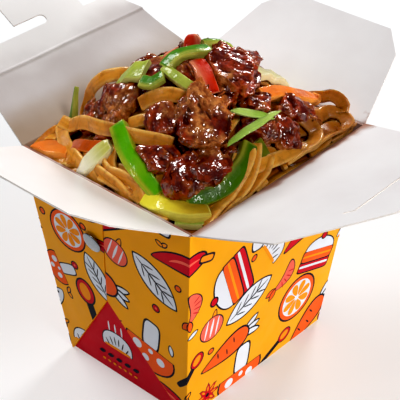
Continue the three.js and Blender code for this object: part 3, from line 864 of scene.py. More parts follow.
# flaps: the plate is bent a little, and its board runs on round the crease to the wall
# scored: how far out a second fold line runs; dish: how much the board waves
flaps = {
    "flap_back": {"turn": 0, "angle": 26, "scored": 32.3, "dish": 1.1, "seed": 3},
    "flap_left": {"turn": 90, "angle": 28, "scored": None, "dish": 0.5, "seed": 5},
    "flap_front": {"turn": 180, "angle": 16, "scored": None, "dish": 0.6, "seed": 8},
    "flap_right": {"turn": 270, "angle": 28, "scored": None, "dish": 0.5, "seed": 13},
}
flapBoard = {
    "thickness": 0.6, "gridStep": 3.0, "creaseGap": 0.35, "underReach": 0.06, "bendSteps": 5,
    "wallCover": 1.6, "coverThickness": 0.25, "besideScore": (-1.4, -0.9, -0.45, 0, 0.45, 0.9, 1.4),
    "blendEnd": 2.2, "printStep": 2.0, "printGap": 0.04, "printLayers": 2.5,
}


# a flap opens along x (0) or y (1)
def openingAxis(flap):
    return 0 if flap["turn"] % 180 else 1


def flapPlace(flap):
    turn = Matrix.Rotation(math.radians(flap["turn"]), 4, "Z")
    hinge = Matrix.Translation((0, carton["rimHalf"][openingAxis(flap)], carton["height"]))
    return turn @ hinge @ Matrix.Rotation(math.radians(flap["angle"]), 4, "X")


# how far the board stands off its flat plane at u along the crease and v outwards
def flapRelief(flap, u, v):
    wave = noise.noise(Vector((u / 42, v / 30, flap["seed"]))) * flap["dish"]
    scored = flap["scored"]
    ridge = 0
    if scored:
        ridge = 0.5 * math.exp(-((v - scored) / 0.7) ** 2) - 0.5 * math.exp(-((v - scored + 9) / 7) ** 2)
        ridge += 0.05 * max(0, v - scored)
    return limited((v - 2) / 14) * (wave + ridge)


# where the board's two faces run, in y and z, from the plate round the crease and down the wall
def bendStations(flap):
    axis = openingAxis(flap)
    slope = math.atan2(carton["rimHalf"][axis] - carton["baseHalf"][axis], carton["height"])
    wallTurn = math.pi - math.radians(flap["angle"]) - slope
    wallReach = carton["board"] + flapBoard["underReach"]
    stations = []
    for share in np.linspace(0, 1, flapBoard["bendSteps"] + 1):
        angle = math.pi / 2 + (wallTurn - math.pi / 2) * share
        towards = Vector((math.cos(angle), math.sin(angle)))
        reach = flapBoard["thickness"] + (wallReach - flapBoard["thickness"]) * share
        stations.append({"under": towards * flapBoard["underReach"], "top": towards * reach})
    covered = stations[-1]["top"] + Vector((-towards.y, towards.x)) * flapBoard["wallCover"]
    stations.append({"under": covered - towards * flapBoard["coverThickness"], "top": covered})
    return stations


# cuts a flat shape into a grid, and along both sides of the scored line, then gives it the board's relief
def addRelief(shape, flap, step):
    for axis in (0, 1):
        along = [vert.co[axis] for vert in shape.verts]
        cuts = list(np.arange(min(along) + step, max(along) - 1, step))
        if axis == 1 and flap["scored"]:
            cuts += [flap["scored"] + beside for beside in flapBoard["besideScore"]]
        for cut in cuts:
            at, across = Vector((0, 0, 0)), Vector((0, 0, 0))
            at[axis] = cut
            across[axis] = 1
            geometry = shape.verts[:] + shape.edges[:] + shape.faces[:]
            bmesh.ops.bisect_plane(shape, geom=geometry, dist=0.005, plane_co=at, plane_no=across)
    for vert in shape.verts:
        vert.co.z += flapRelief(flap, vert.co.x, vert.co.y)

# draws the board's cut end at the crease back round the hinge line, then down the wall
def drawRoundCrease(shape, stations):
    shape.normal_update()
    gap = flapBoard["creaseGap"]
    region = [f for f in shape.faces if f.normal.y < -0.95 and abs(f.calc_center_median().y - gap) < 0.05]
    isTop = {v: v.co.z > flapBoard["thickness"] / 2 for f in region for v in f.verts}
    for station in stations:
        made = bmesh.ops.extrude_face_region(shape, geom=region)
        bmesh.ops.delete(shape, geom=[f for f in region if f.is_valid], context="FACES_ONLY")
        region = only(bmesh.types.BMFace, made["geom"])
        moved = {}
        for vert in {v for f in region for v in f.verts}:
            source = min(isTop, key=lambda old: (old.co - vert.co).length_squared)
            moved[vert] = isTop[source]
        for vert, top in moved.items():
            vert.co.y, vert.co.z = station["top" if top else "under"]
        isTop = moved
    bmesh.ops.recalc_face_normals(shape, faces=shape.faces)
    shape.normal_update()


def makeFlap(name, flap):
    shape = copyNode(name)
    place = flapPlace(flap)
    bmesh.ops.transform(shape, matrix=place.inverted(), verts=shape.verts)
    addRelief(shape, flap, flapBoard["gridStep"])
    stations = bendStations(flap)
    drawRoundCrease(shape, stations)
    for face in shape.faces:
        centre = face.calc_center_median()
        isUnder = face.normal.z < -0.6 and centre.y > 0.1
        isRim = abs(face.normal.z) < 0.5 and centre.y > 0.6
        face.material_index = 1 if isUnder else 2 if isRim else 0
    smoothShade(shape, 40)
    bmesh.ops.transform(shape, matrix=place, verts=shape.verts)
    keepPlaces(shape)
    finishes = [flapInsides[name], boardInks["ground"], rawEdge]
    piece = addPiece(name + "_board", shape, finishes, body=None, node=name)
    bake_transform(piece)


# convex outlines of the printed side, u along the crease and v outwards
endFlapPanel = [(-42.4, 3.2), (42.4, 3.2), (35.2, 33.5), (25.7, 43.7), (-25.7, 43.7), (-35.2, 33.5)]
flapPrintPanels = {
    "flap_back": [
        [(-49.5, 3.2), (49.5, 3.2), (44.2, 33.5), (-44.2, 33.5)],
        [(-44.2, 33.5), (44.2, 33.5), (36.7, 44.4), (-36.7, 44.4)],
    ],
    "flap_front": [
        [(-49.6, 3.2), (49.6, 3.2), (45.2, 33.5), (-45.2, 33.5)],
        [(-45.2, 33.5), (45.2, 33.5), (28, 43), (-28, 43)],
    ],
    "flap_left": [endFlapPanel],
    "flap_right": [endFlapPanel],
}
def makeFlapPrint(name, flap):
    whole = bmesh.new()
    mirrored = Matrix.Rotation(math.pi, 4, "Y") @ Matrix.Translation((0, 0, flapBoard["printGap"]))
    placing = mirrored @ Matrix.Diagonal((1, 1, flapBoard["printLayers"], 1))
    panels = []
    for outline in flapPrintPanels[name]:
        corners = [Vector((u, v, 0)) for u, v in reversed(outline)]
        panels.append((placing, corners, Vector((0, 0, -1))))
    layPrint(whole, sheetMotifs(100, 44, flap["seed"]), panels)
    dropLoose(whole)
    addRelief(whole, flap, flapBoard["printStep"])
    bmesh.ops.transform(whole, matrix=flapPlace(flap), verts=whole.verts)
    addPrint(name + "_print", whole, body=name)


# how far out a place lies, from 0 in the middle to 1 at the heap's edge
def reachOut(x, y):
    power = heap["squareness"]
    across = abs(x / heap["half"][0]) ** power + abs(y / heap["half"][1]) ** power
    return across ** (1 / power)


def heapLevel(x, y):
    reach = min(1, reachOut(x, y))
    return heap["edge"] + heap["rise"] * (1 - reach ** 2) ** heap["steepness"]


def heapNormal(x, y):
    step = 2
    slopeX = (heapLevel(x + step, y) - heapLevel(x - step, y)) / (2 * step)
    slopeY = (heapLevel(x, y + step) - heapLevel(x, y - step)) / (2 * step)
    return Vector((-slopeX, -slopeY, 1)).normalized()

# below: how far under the heap's level the sauce lies, in the middle and at the rim; foot: the narrow end
core = {
    "half": (49, 42.6), "divisions": (46, 40), "below": (4.2, 0.6), "shallowFrom": 0.7, "shallowOver": 0.28,
    "roughness": (1.0, 0.3), "smoothFrom": 0.9, "foot": (0.81, 0.745), "footLevel": 1.2,
}


def makeCore():
    shape = bmesh.new()
    bmesh.ops.create_grid(shape, x_segments=core["divisions"][0], y_segments=core["divisions"][1], size=1)
    deep, shallow = core["below"]
    for vert in shape.verts:
        x, y = vert.co.x * core["half"][0], vert.co.y * core["half"][1]
        reach = reachOut(x, y)
        below = deep + (shallow - deep) * limited((reach - core["shallowFrom"]) / core["shallowOver"])
        roughness = core["roughness"][0 if reach < core["smoothFrom"] else 1]
        bumps = roughness * noise.noise(Vector((x, y, 0)) / 6)
        vert.co = Vector((x, y, heapLevel(x, y) - below + bumps))
    rim = [edge for edge in shape.edges if edge.is_boundary]
    skirt = bmesh.ops.extrude_edge_only(shape, edges=rim)["geom"]
    for vert in only(bmesh.types.BMVert, skirt):
        vert.co.x *= core["foot"][0]
        vert.co.y *= core["foot"][1]
        vert.co.z = core["footLevel"]
    bmesh.ops.contextual_create(shape, geom=only(bmesh.types.BMEdge, skirt))
    bmesh.ops.recalc_face_normals(shape, faces=shape.faces)
    addPiece("noodle_core", shape, [sauce], sharpAngle=60)


# noodles and cut vegetables are one section swept along a path on the heap
def curvePoints(places, spacing):
    anchors = [Vector((x, y, lift)) for x, y, lift in places]
    anchors = [2 * anchors[0] - anchors[1]] + anchors + [2 * anchors[-1] - anchors[-2]]
    points = []
    for a, b, c, d in zip(anchors, anchors[1:], anchors[2:], anchors[3:]):
        count = max(2, round((c - b).length / spacing))
        for i in range(count):
            t = i / count
            points.append(0.5 * (
                2 * b + (c - a) * t + (2 * a - 5 * b + 4 * c - d) * t * t + (3 * b - a - 3 * c + d) * t ** 3
            ))
    points.append(anchors[-2])
    return points
# tapers: how much narrower the two ends get; arch: how far the middle stands up; ruffle: wavy edges
plainStrip = {"tone": 0.5, "tapers": (0, 0), "arch": 0, "ruffle": 0, "rolls": None}


def sweep(points, normals, strip):
    strip = dict(plainStrip, **strip)
    shape = bmesh.new()
    section = shape.verts.layers.float_vector.new("section")
    tone = shape.verts.layers.float.new("tone")
    made = bmesh.ops.create_circle(shape, cap_ends=True, segments=strip["sides"], radius=1)
    for vert in made["verts"]:
        vert[section] = (*squared(vert.co.x, vert.co.y, strip["squareness"]), 0)
        vert[tone] = strip["tone"]
    last = len(points) - 1
    region = shape.faces[:]
    for i, point in enumerate(points):
        if i > 0:
            region = only(bmesh.types.BMFace, bmesh.ops.extrude_face_region(shape, geom=region)["geom"])
        tangent = (points[min(last, i + 1)] - points[max(0, i - 1)]).normalized()
        sideways = tangent.cross(normals[i]).normalized()
        roll = strip["rolls"][i] if strip["rolls"] else 0
        sideways = Matrix.Rotation(math.radians(roll), 3, tangent) @ sideways
        up = sideways.cross(tangent)
        share = i / last
        narrowed = strip["tapers"][0 if share < 0.5 else 1] * abs(2 * share - 1) ** 3
        wobble = 1 + strip["uneven"] * noise.noise(Vector((i * 0.14, strip["seed"] * 7.3, 1)))
        halfWidth = strip["width"] / 2 * (1 - narrowed) * wobble
        halfThickness = strip["thickness"] / 2 * (1 - 0.35 * narrowed)
        if i in (0, last):
            halfWidth *= 0.95
            halfThickness *= 0.85
        for vert in region[0].verts:
            x, y = vert[section].x, vert[section].y
            arch = strip["arch"] * (0.5 - x * x)
            ruffle = strip["ruffle"] * abs(x) ** 2 * math.sin(i * 0.9 + 3 * x)
            vert.co = point + sideways * (x * halfWidth) + up * (y * halfThickness + arch + ruffle)
            vert[section] = (x, y, share)
    bmesh.ops.recalc_face_normals(shape, faces=shape.faces)
    return shape


# bare and ceiling: where the pile starts and how high it may rise, in the heap's middle and at the rim
# overlap and underMeat: how far noodles may rise past the undersides of the strips and of the meat
pile = {
    "half": (52, 46), "bare": (-3.4, 1.2), "ceiling": (2.8, 5.2), "nearRim": (0.72, 0.98),
    "overlap": 0.8, "underMeat": 3,
}
noodle = {"width": 5.6, "thickness": 1.5, "spacing": 1.5, "sides": 12, "squareness": 4, "uneven": 0.12}
fillers = {
    "tries": 1500, "shortest": 12, "seed": 11, "length": (38, 78), "within": (46, 40), "alongRim": 0.45,
    "rimInset": (1.5, 12),
}


def rimMap(middle, rim):
    low, high = pile["nearRim"]
    cells = [[reachOut(x, y) for y in range(-pile["half"][1], pile["half"][1] + 1)]
             for x in range(-pile["half"][0], pile["half"][0] + 1)]
    share = np.clip((np.array(cells) - low) / (high - low), 0, 1)
    return middle + (rim - middle) * share


pileMap = rimMap(*pile["bare"])
ceilingMap = rimMap(*pile["ceiling"])


def mapCell(x, y):
    i = int(round(x + pile["half"][0]))
    j = int(round(y + pile["half"][1]))
    return min(max(i, 0), pileMap.shape[0] - 1), min(max(j, 0), pileMap.shape[1] - 1)


def footprint(points, i, halfWidth):
    before, after = points[max(0, i - 1)], points[min(len(points) - 1, i + 1)]
    ahead = Vector((after.x - before.x, after.y - before.y))
    if ahead.length < 1e-6:
        ahead = Vector((1, 0))
    ahead.normalize()
    aside = Vector((-ahead.y, ahead.x))
    return [mapCell(points[i].x + aside.x * w, points[i].y + aside.y * w)
            for w in np.linspace(-halfWidth, halfWidth, 7)]


# lifts a flat path so that it lies on what is under it, bridging the hollows as a stiff strip does
def settle(points, halfWidth, halfThickness):
    count = len(points)
    under = np.array([max(pileMap[cell] for cell in footprint(points, i, halfWidth)) for i in range(count)])
    bridged = np.array([under[max(0, i - 3):i + 4].max() for i in range(count)])
    eased = np.array([bridged[max(0, i - 5):i + 6].mean() for i in range(count)])
    return np.maximum(eased, under) + halfThickness


def pressIn(points, lifts, halfWidth, halfThickness):
    for i in range(len(points)):
        for cell in footprint(points, i, halfWidth):
            pileMap[cell] = max(pileMap[cell], lifts[i] + halfThickness)


def keepInside(x, y, margin):
    halfX, halfY = heap["half"][0] - margin, heap["half"][1] - margin
    reach = (abs(x / halfX) ** 12 + abs(y / halfY) ** 12) ** (1 / 12)
    if reach > 1:
        x, y = x / reach, y / reach
    return x, y

def onHeap(points, lifts):
    placed, normals = [], []
    for point, lift in zip(points, lifts):
        x, y = clamp(point.x, pathHalf[0]), clamp(point.y, pathHalf[1])
        placed.append(Vector((x, y, heapLevel(x, y) + lift)))
        normals.append(heapNormal(x, y))
    return placed, normals


# brings a surface back between the walls
def keepBetween(shape):
    for vert in shape.verts:
        vert.co.x, vert.co.y = clamp(vert.co.x, foodHalf[0]), clamp(vert.co.y, foodHalf[1])


# a noodle of the pile starts anywhere, and runs round the heap or along the rim
def fillerStart(draw):
    x, y = (draw.uniform(-half, half) for half in fillers["within"])
    if draw.random() < fillers["alongRim"]:
        inset = draw.uniform(*fillers["rimInset"])
        onSide = draw.random() < 0.5
        if onSide:
            y = draw.choice((-1, 1)) * (heap["half"][1] - inset)
        else:
            x = draw.choice((-1, 1)) * (heap["half"][0] - inset)
        heading = draw.uniform(-0.15, 0.15) + (0 if onSide else math.pi / 2)
        tightest = 0.01
    else:
        outX, outY = x / heap["half"][0], y / heap["half"][1]
        spread = 1.3 - 0.9 * min(1, math.hypot(outX, outY))
        heading = math.atan2(outY, outX) + math.pi / 2 + draw.uniform(-spread, spread)
        tightest = 0.035
    heading += draw.choice((0, math.pi))
    return x, y, heading, draw.uniform(-tightest, tightest)


def fillerPath(draw):
    step = noodle["spacing"]
    length = draw.uniform(*fillers["length"])
    x, y, heading, bend = fillerStart(draw)
    points = []
    for _ in range(int(length / step)):
        x, y = keepInside(x + math.cos(heading) * step, y + math.sin(heading) * step, noodle["width"] / 2)
        points.append(Vector((x, y, 0)))
        bend += draw.uniform(-0.006, 0.006)
        heading += bend * step / 1.5
    for _ in range(3):
        eased = [(a + 2 * b + c) / 4 for a, b, c in zip(points, points[1:], points[2:])]
        points = [points[0], *eased, points[-1]]
    return points
# noodles laid one by one: how their flat sides roll at both ends, and paths, as x, y and height over the heap
# the last three are low and fill hollows between the pieces
placedNoodles = [
    ((45, 25), [(-33, 41, 8), (-34.5, 30, 9), (-37.6, 16, 9), (-37.7, 7, 9), (-35.5, -6, 8), (-31, -17, 7)]),
    ((30, 15), [(-32, 42, 6), (-36.4, 37, 6), (-41, 30, 5.5), (-44.4, 21, 4.5), (-46.5, 13, 3), (-48, 2, 1)]),
    ((55, 30), [(47, -15, 6), (48.5, -23, 9), (48.5, -29, 12), (48, -34, 11),
                (47.5, -35, 7), (46, -31, 5), (44, -26, 4)]),
    ((35, 20), [(33, -29, 4), (38, -30.5, 7), (43, -30.5, 7.5), (46, -35, 7),
                (44.5, -40, 5.5), (40, -41, 4), (34, -39, 2)]),
    ((30, 12), [(47, -40, 3), (40, -41.5, 4.5), (31, -41, 6), (20, -40.5, 6),
                (5, -40, 5.5), (-7, -38.5, 5), (-14, -36.5, 3)]),
    ((60, 50), [(47, -36, 2), (45, -40.5, 1.5), (34, -42, 1.5), (24, -42, 1.5),
                (12, -42, 1.5), (0, -42, 1.5), (-10, -42, 1)]),
    ((50, 40), [(24, -28, 4), (26.5, -33, 6.5), (27.5, -37, 7), (23, -40, 7), (15, -41, 6), (4, -41, 4.5)]),
    ((20, 10), [(28, -33, 3), (33, -36, 5), (39, -36, 4.5), (43, -38, 3)]),
    ((30, 8), [(-8, -33, 5), (-10.5, -35.5, 7.5), (-16, -37.5, 7),
               (-24, -38.5, 5), (-34, -40, 3), (-41, -41, 1)]),
    ((42, 20), [(-5, -34, 6), (-9.5, -37.5, 7), (-15, -39.5, 5.5),
                (-22, -40.5, 4), (-32, -41.7, 2.5), (-40, -42, 0.5)]),
    ((50, 40), [(-2, -38, 5), (-9, -40.5, 4.5), (-18, -41.6, 3), (-28, -42.2, 1.5), (-38, -42.4, 0)]),
    ((20, 20), [(-12, -33, 4), (-18, -35.5, 4), (-27, -36.5, 3), (-36, -38.5, 1)]),
    ((75, 50), [(-20, 41, 5), (-18.5, 41.5, 10), (-17, 40, 14.5),
                (-16, 34, 14.5), (-13, 29, 11), (-11, 24, 7)]),
    ((40, 30), [(-25, 5, 5), (-23, 0, 7.5), (-20.5, -5, 8.5), (-17, -10, 6.5), (-15, -14, 4)]),
    ((35, 30), [(-43, 18, 2), (-46, 9, 3.5), (-47, 2, 4), (-47.5, -5, 3.5), (-48.3, -12, 1)]),
    ((40, 30), [(-43, 8, 3), (-46, 1, 5), (-45.6, -6, 5.5), (-45.3, -12, 5), (-47, -17, 3), (-48.5, -22, 0)]),
    ((30, 20), [(-46, 42, 1), (-41, 42, 3), (-36, 42, 4.5), (-28, 40, 4)]),
    ((30, 20), [(-46, 40, 0.5), (-47.8, 29, 2), (-48, 18, 1.5), (-48.4, 6, 1)]),
    ((10, 10), [(-37, -17, 4), (-39.9, -22, 5), (-41, -25, 3.5), (-43, -29, 2)]),
    ((20, 10), [(-36, 8, 3), (-40, 5, 4), (-44, 2, 3), (-47, -6, 1)]),
    ((0, 0), [(47, -22, 2), (44, -8, 4), (47, 8, 3), (46, 20, 1)]),
    ((0, 0), [(-42, 39, 1), (-28, 41, 2), (-12, 40, 3), (2, 41, 1)]),
    ((5, -5), [(-38, 41, 1), (-38.2, 34, 2.2), (-37.6, 27, 1.4), (-36.6, 20, 1)]),
    ((0, 10), [(-31, 8, 1.2), (-28.5, 2, 2.6), (-25.5, -4, 2.6), (-23.5, -10, 1)]),
    ((5, 5), [(-42, -1, 1.2), (-44.4, -8, 1.9), (-45, -15, 0.8)]),
]


def lowerTo(cell, level):
    ceilingMap[cell] = min(ceilingMap[cell], level)


# noodles stay below the pieces that lie on them
def lowerCeiling():
    for strip in vegetables.values():
        path = curvePoints(strip["places"], 1.0)
        for i, point in enumerate(path):
            for cell in footprint(path, i, strip["width"] / 2):
                lowerTo(cell, point.z - strip["thickness"] / 2 + pile["overlap"])
    for name in meatNodes:
        low, high = (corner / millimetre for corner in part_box(name))
        places = [vert.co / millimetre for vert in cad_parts[name].data.vertices]
        under = min(place.z - heapLevel(place.x, place.y) for place in places)
        middle, half = (low + high) / 2, (high - low) / 2
        for x in range(math.ceil(low.x), math.ceil(high.x)):
            for y in range(math.ceil(low.y), math.ceil(high.y)):
                if ((x - middle.x) / half.x) ** 2 + ((y - middle.y) / half.y) ** 2 < 0.8:
                    lowerTo(mapCell(x, y), under + pile["underMeat"])


def longestRun(fits):
    best, start = (0, 0), 0
    for i, fit in enumerate(fits + [False]):
        if not fit:
            if i - start > best[1] - best[0]:
                best = (start, i)
            start = i + 1
    return best

def makeNoodles():
    lowerCeiling()
    whole = bmesh.new()
    draw = random.Random(fillers["seed"])
    halfWidth, halfThickness = noodle["width"] / 2, noodle["thickness"] / 2
    laid = 0
    for attempt in range(fillers["tries"]):
        points = fillerPath(draw)
        lifts = settle(points, halfWidth, halfThickness + 0.1)
        rolls = [draw.uniform(-22, 22), draw.uniform(-22, 22)]
        tone = draw.random()
        over = [lifts[i] + halfThickness - min(ceilingMap[cell] for cell in footprint(points, i, halfWidth))
                for i in range(len(points))]
        first, last = longestRun([rise <= 0 for rise in over])
        if last - first >= fillers["shortest"]:
            points, lifts = points[first:last], lifts[first:last]
            laid += 1
            pressIn(points, lifts, halfWidth, halfThickness)
            addNoodle(whole, points, lifts, rolls, tone, attempt)
    for index, (rolls, places) in enumerate(placedNoodles):
        path = curvePoints(places, noodle["spacing"])
        addNoodle(whole, path, [p.z for p in path], rolls, draw.uniform(0, 0.5), 500 + index)
    print("noodles:", len(whole.faces), laid, "in the pile and", len(placedNoodles), "placed")
    addPiece("noodle_strands", whole, [noodleSkin], node="noodles", sharpAngle=70)


def addNoodle(whole, points, lifts, rolls, tone, seed):
    placed, normals = onHeap(points, lifts)
    share = np.linspace(0, 1, len(placed))
    turned = [rolls[0] + (rolls[1] - rolls[0]) * s + 9 * math.sin(4 * s + seed) for s in share]
    strand = sweep(placed, normals, dict(noodle, tone=tone, seed=seed, rolls=turned))
    keepBetween(strand)
    # how low each vertex lies in the pile, for the painted shade on the low noodles
    paintedShadeDepth = strand.verts.layers.float.new("paintedShadeDepth")
    for vert in strand.verts:
        vert[paintedShadeDepth] = limited((3.4 - (vert.co.z - heapLevel(vert.co.x, vert.co.y))) / 3.8)
    joinInto(whole, strand)


# a cut piece: its finish, width, thickness and path, and what differs from a plain cut
def cut(finish, width, thickness, places, arch=0.4, squareness=11, **more):
    strip = {"finish": finish, "width": width, "thickness": thickness, "places": places}
    return dict(strip, arch=arch, squareness=squareness, sides=28, uneven=0.1, **more)


vegetables = {
    "red_pepper_strip": cut("redPepper", 6.4, 3, [(-4, -4, 9.5), (-8, -12, 10.5), (-10, -17, 8.5)]),
    "red_pepper_tip": cut("redPepper", 7, 3, [(7, 8, 5), (8.5, 9.5, 9), (10, 11, 13)], tapers=(0.5, 0.5)),
    "green_pepper_arc": cut(
        "greenPepper", 6, 3, [(-13.5, 3.5, 10), (-7.5, 2.5, 11.5), (-1.5, -1, 11.5), (4.5, -3, 10.5)],
    ),
    "green_pepper_edge": cut(
        "paleGreen", 4, 2.4, [(-13.5, 3.5, 10), (-14.8, -2.5, 10), (-15.1, -7.8, 10), (-13.8, -11.7, 9)],
    ),
    "green_bean": cut("greenPepper", 5, 5, [(8, 4, 10), (13, 1, 10), (17, -2, 9)], squareness=2, arch=0),
    "spring_onion_long": cut(
        "springOnion", 2.9, 1.2, [(13, -31, 9), (-3, -32, 10), (-20, -31, 9)], tapers=(0.95, 0.95),
    ),
    "spring_onion_short": cut(
        "springOnion", 3.2, 1.2, [(-9, -25, 10), (-1, -29, 10), (8, -32, 8.5)], tapers=(0.9, 0.9),
    ),
    "red_pepper_bit": cut("carrot", 6, 4.5, [(-14, -8, 6), (-11, -12, 6)]),
    "green_leaf_bit": cut("greenPepper", 5.5, 2, [(-22.5, 7, 11.5), (-21.3, 3, 11), (-18, -0.5, 12)]),
    "pale_pepper": cut(
        "paleGreen", 10, 2.6, [(-18.5, 20.5, 9.5), (-18, 15, 11), (-16.5, 10, 10.5)], ruffle=0.5,
    ),
    "carrot_right": cut(
        "carrot", 5.5, 4, [(14, -20, 2), (30.6, -21.4, 5), (46.5, -23, 10)], tapers=(0, 0.3), arch=0,
    ),
    "cabbage": cut(
        "cabbage", 9, 3.2, [(22, -9, 4), (30, -10, 5), (38, -13, 6)], tapers=(0.3, 0.3), ruffle=0.6,
    ),
    "green_strip_bright": cut(
        "greenBright", 6.8, 3.6, [(-36, 6, 9), (-41, -4, 8), (-43, -13, 7), (-43, -21, 4)],
    ),
    "green_strip_dark": cut(
        "greenDark", 7, 4.4, [(-7, -33, 5), (-15, -36, 5.5), (-27, -36, 5), (-38, -30, 4)],
    ),
    "courgette_slice": cut("courgette", 6, 2.4, [(-3, -38, 3), (-4, -33, 5)]),
    "yellow_pepper_front": cut(
        "yellowPepper", 8.4, 3.8, [(-45, -17, 4), (-44, -26, 4.5), (-41, -34, 4), (-35, -38, 3)],
    ),
    "yellow_pepper_rim": cut("paleGreen", 4.4, 2.2, [(-46, -32, 1), (-41, -38, 1), (-33, -41, 0.6)]),
    "spring_onion_pale": cut(
        "onionWhite", 7, 3.4, [(-48.4, 15.5, 2.2), (-45, 11, 5), (-39.8, 6, 6)], tapers=(0.75, 0.3),
    ),
    "carrot_left": cut(
        "carrot", 9, 3.6, [(-48.4, 41.8, 2.2), (-45.4, 34.5, 3.3), (-42, 27, 4)], tapers=(0.85, 0.2), arch=0,
    ),
    "carrot_strip_left": cut(
        "carrotSauced", 5, 3, [(-40, 27, 4), (-41, 16, 4.5), (-40, 6, 5)], tapers=(0.1, 0.5), arch=0,
    ),
    "green_sliver": cut(
        "greenPepper", 3.6, 2, [(-28.5, 40, 3), (-26.8, 40, 11), (-24.6, 40, 20)], tapers=(0, 0.9),
    ),
    "red_pepper_far": cut("redPepper", 7, 3, [(8, 24, 6), (16, 20, 8), (25, 14, 8)]),
    "spring_onion_far": cut("springOnion", 5, 1.8, [(-4, 31, 7), (6, 30, 8), (17, 25, 7)], tapers=(0.8, 0.8)),
    "green_strip_far": cut("greenPepper", 6.4, 3.6, [(-12, 37, 4), (0, 38, 4), (11, 36, 4)]),
    "carrot_far": cut("carrot", 6, 4, [(29, 29, 4), (36, 22, 5), (43, 12, 4)], arch=0, squareness=5),
    "yellow_pepper_far": cut("yellowPepper", 7.4, 3.6, [(45, 2, 3), (45, -6, 4), (44, -14, 4)]),
}


def makeVegetables():
    for index, (node, strip) in enumerate(vegetables.items()):
        path = curvePoints(strip["places"], 1.0)
        placed, normals = onHeap(path, [p.z for p in path])
        shape = sweep(placed, normals, dict(strip, seed=index))
        for vert in shape.verts:
            vert.co += 0.35 * noise.noise_vector(vert.co / 7 + Vector((index, 0, 0)))
        keepBetween(shape)
        addPiece(node + "_cut", shape, [plants[strip["finish"]]], node=node, sharpAngle=50)


# meat: thin slices folded over one another within each node's own block
# spare: how far slices lie from the block's middle, as shares of its half sizes
meat = {
    "slices": (3, 6), "sliceArea": 18, "thickness": (3.0, 4.6), "reach": (0.72, 0.98), "roundness": 3.4,
    "ragged": 0.2, "bend": 1.5, "wave": 1.1, "tilt": 22, "swing": 40, "spare": (0.3, 0.3, 0.62),
    "fill": (0.9, 0.9, 0.72), "give": 0.7, "voxel": 0.5, "fibre": 0.6, "crag": 0.5, "fine": 0.2,
    "reliefSteps": 45, "clearance": (0.2, 0.25),
}
meatNodes = sorted(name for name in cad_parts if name.startswith("meat_"))


def blockFrame(name):
    shape = copyNode(name)
    corners = np.array([vert.co for vert in shape.verts])
    middle = (corners.max(0) + corners.min(0)) / 2
    axes = np.linalg.svd(corners - corners.mean(0), full_matrices=False)[2]
    if np.linalg.det(axes) < 0:
        axes[2] *= -1
    along = (corners - middle) @ axes.T
    half = (along.max(0) - along.min(0)) / 2
    centre = middle + ((along.max(0) + along.min(0)) / 2) @ axes
    place = Matrix(axes.T.tolist()).to_4x4()
    place.translation = centre
    return shape, place, half


# a slab with a ragged outline, thin edges and a slight bend
def shapeSlice(slab, half, draw):
    seed = Vector((draw.uniform(0, 99), draw.uniform(0, 99), draw.uniform(0, 99)))
    reach = [side * draw.uniform(*meat["reach"]) for side in half[:2]]
    thickness = draw.uniform(*meat["thickness"])
    bends = [draw.uniform(-1, 1) * meat["bend"] for _ in range(3)]
    for vert in slab.verts:
        x, y, z = vert.co
        outline = (abs(x) ** meat["roundness"] + abs(y) ** meat["roundness"]) ** (1 / meat["roundness"])
        rounded = max(abs(x), abs(y)) / outline if outline else 1
        heading = Vector((x, y, 0)).normalized() * 1.3 if outline else Vector()
        ragged = 1 + meat["ragged"] * (noise.noise(heading + seed) + 0.5 * noise.noise(heading * 2.6 + seed))
        edge = max(abs(x), abs(y)) ** 5
        lift = bends[0] * x * x + bends[1] * y * y + bends[2] * x * y
        lift += meat["wave"] * noise.noise(Vector((x, y, 0)) * 1.6 + seed)
        vert.co = Vector((
            x * rounded * ragged * reach[0],
            y * rounded * ragged * reach[1],
            z * thickness / 2 * (1 - 0.3 * edge) + lift,
        ))


def addSlice(whole, place, half, draw):
    slab = bmesh.new()
    bmesh.ops.create_cube(slab, size=2)
    bmesh.ops.subdivide_edges(slab, edges=slab.edges, cuts=8, use_grid_fill=True)
    shapeSlice(slab, half, draw)
    lean = [math.radians(draw.uniform(-1, 1) * meat["tilt"]) for _ in range(2)]
    turn = Matrix.Rotation(math.radians(draw.uniform(-1, 1) * meat["swing"]), 4, "Z")
    turn = Matrix.Rotation(lean[0], 4, "X") @ Matrix.Rotation(lean[1], 4, "Y") @ turn
    shift = Vector([side * share * draw.uniform(-1, 1) for side, share in zip(half, meat["spare"])])
    bmesh.ops.transform(slab, matrix=place @ Matrix.Translation(shift) @ turn, verts=slab.verts)
    joinInto(whole, slab)


def easeSurface(shape, factor):
    bmesh.ops.smooth_vert(
        shape, verts=shape.verts, factor=factor, use_axis_x=True, use_axis_y=True, use_axis_z=True,
    )


def voxelJoin(shape, voxel):
    rough = bpy.data.meshes.new("rough")
    shape.to_mesh(rough)
    shape.free()
    holder = bpy.data.objects.new("rough", rough)
    bpy.context.scene.collection.objects.link(holder)
    remesh = holder.modifiers.new("remesh", "REMESH")
    remesh.mode = "VOXEL"
    remesh.voxel_size = voxel
    graph = bpy.context.evaluated_depsgraph_get()
    finer = bpy.data.meshes.new_from_object(holder.evaluated_get(graph))
    bpy.data.objects.remove(holder)
    joined = bmesh.new()
    joined.from_mesh(finer)
    bpy.data.meshes.remove(finer)
    return joined


# how far each vertex stands out of the surface round it, smoothed over a few millimetres
def standOut(shape, steps):
    shape.verts.index_update()
    places = np.array([vert.co for vert in shape.verts])
    normals = np.array([vert.normal for vert in shape.verts])
    ends = np.array([(edge.verts[0].index, edge.verts[1].index) for edge in shape.edges])
    first, second = ends[:, 0], ends[:, 1]
    count = len(places)
    links = np.maximum(np.bincount(first, minlength=count) + np.bincount(second, minlength=count), 1)
    eased = places.copy()
    for _ in range(steps):
        total = np.zeros_like(eased)
        for axis in range(3):
            total[:, axis] = np.bincount(first, eased[second, axis], count)
            total[:, axis] += np.bincount(second, eased[first, axis], count)
        eased += 0.7 * (total / links[:, None] - eased)
    return ((places - eased) * normals).sum(1)

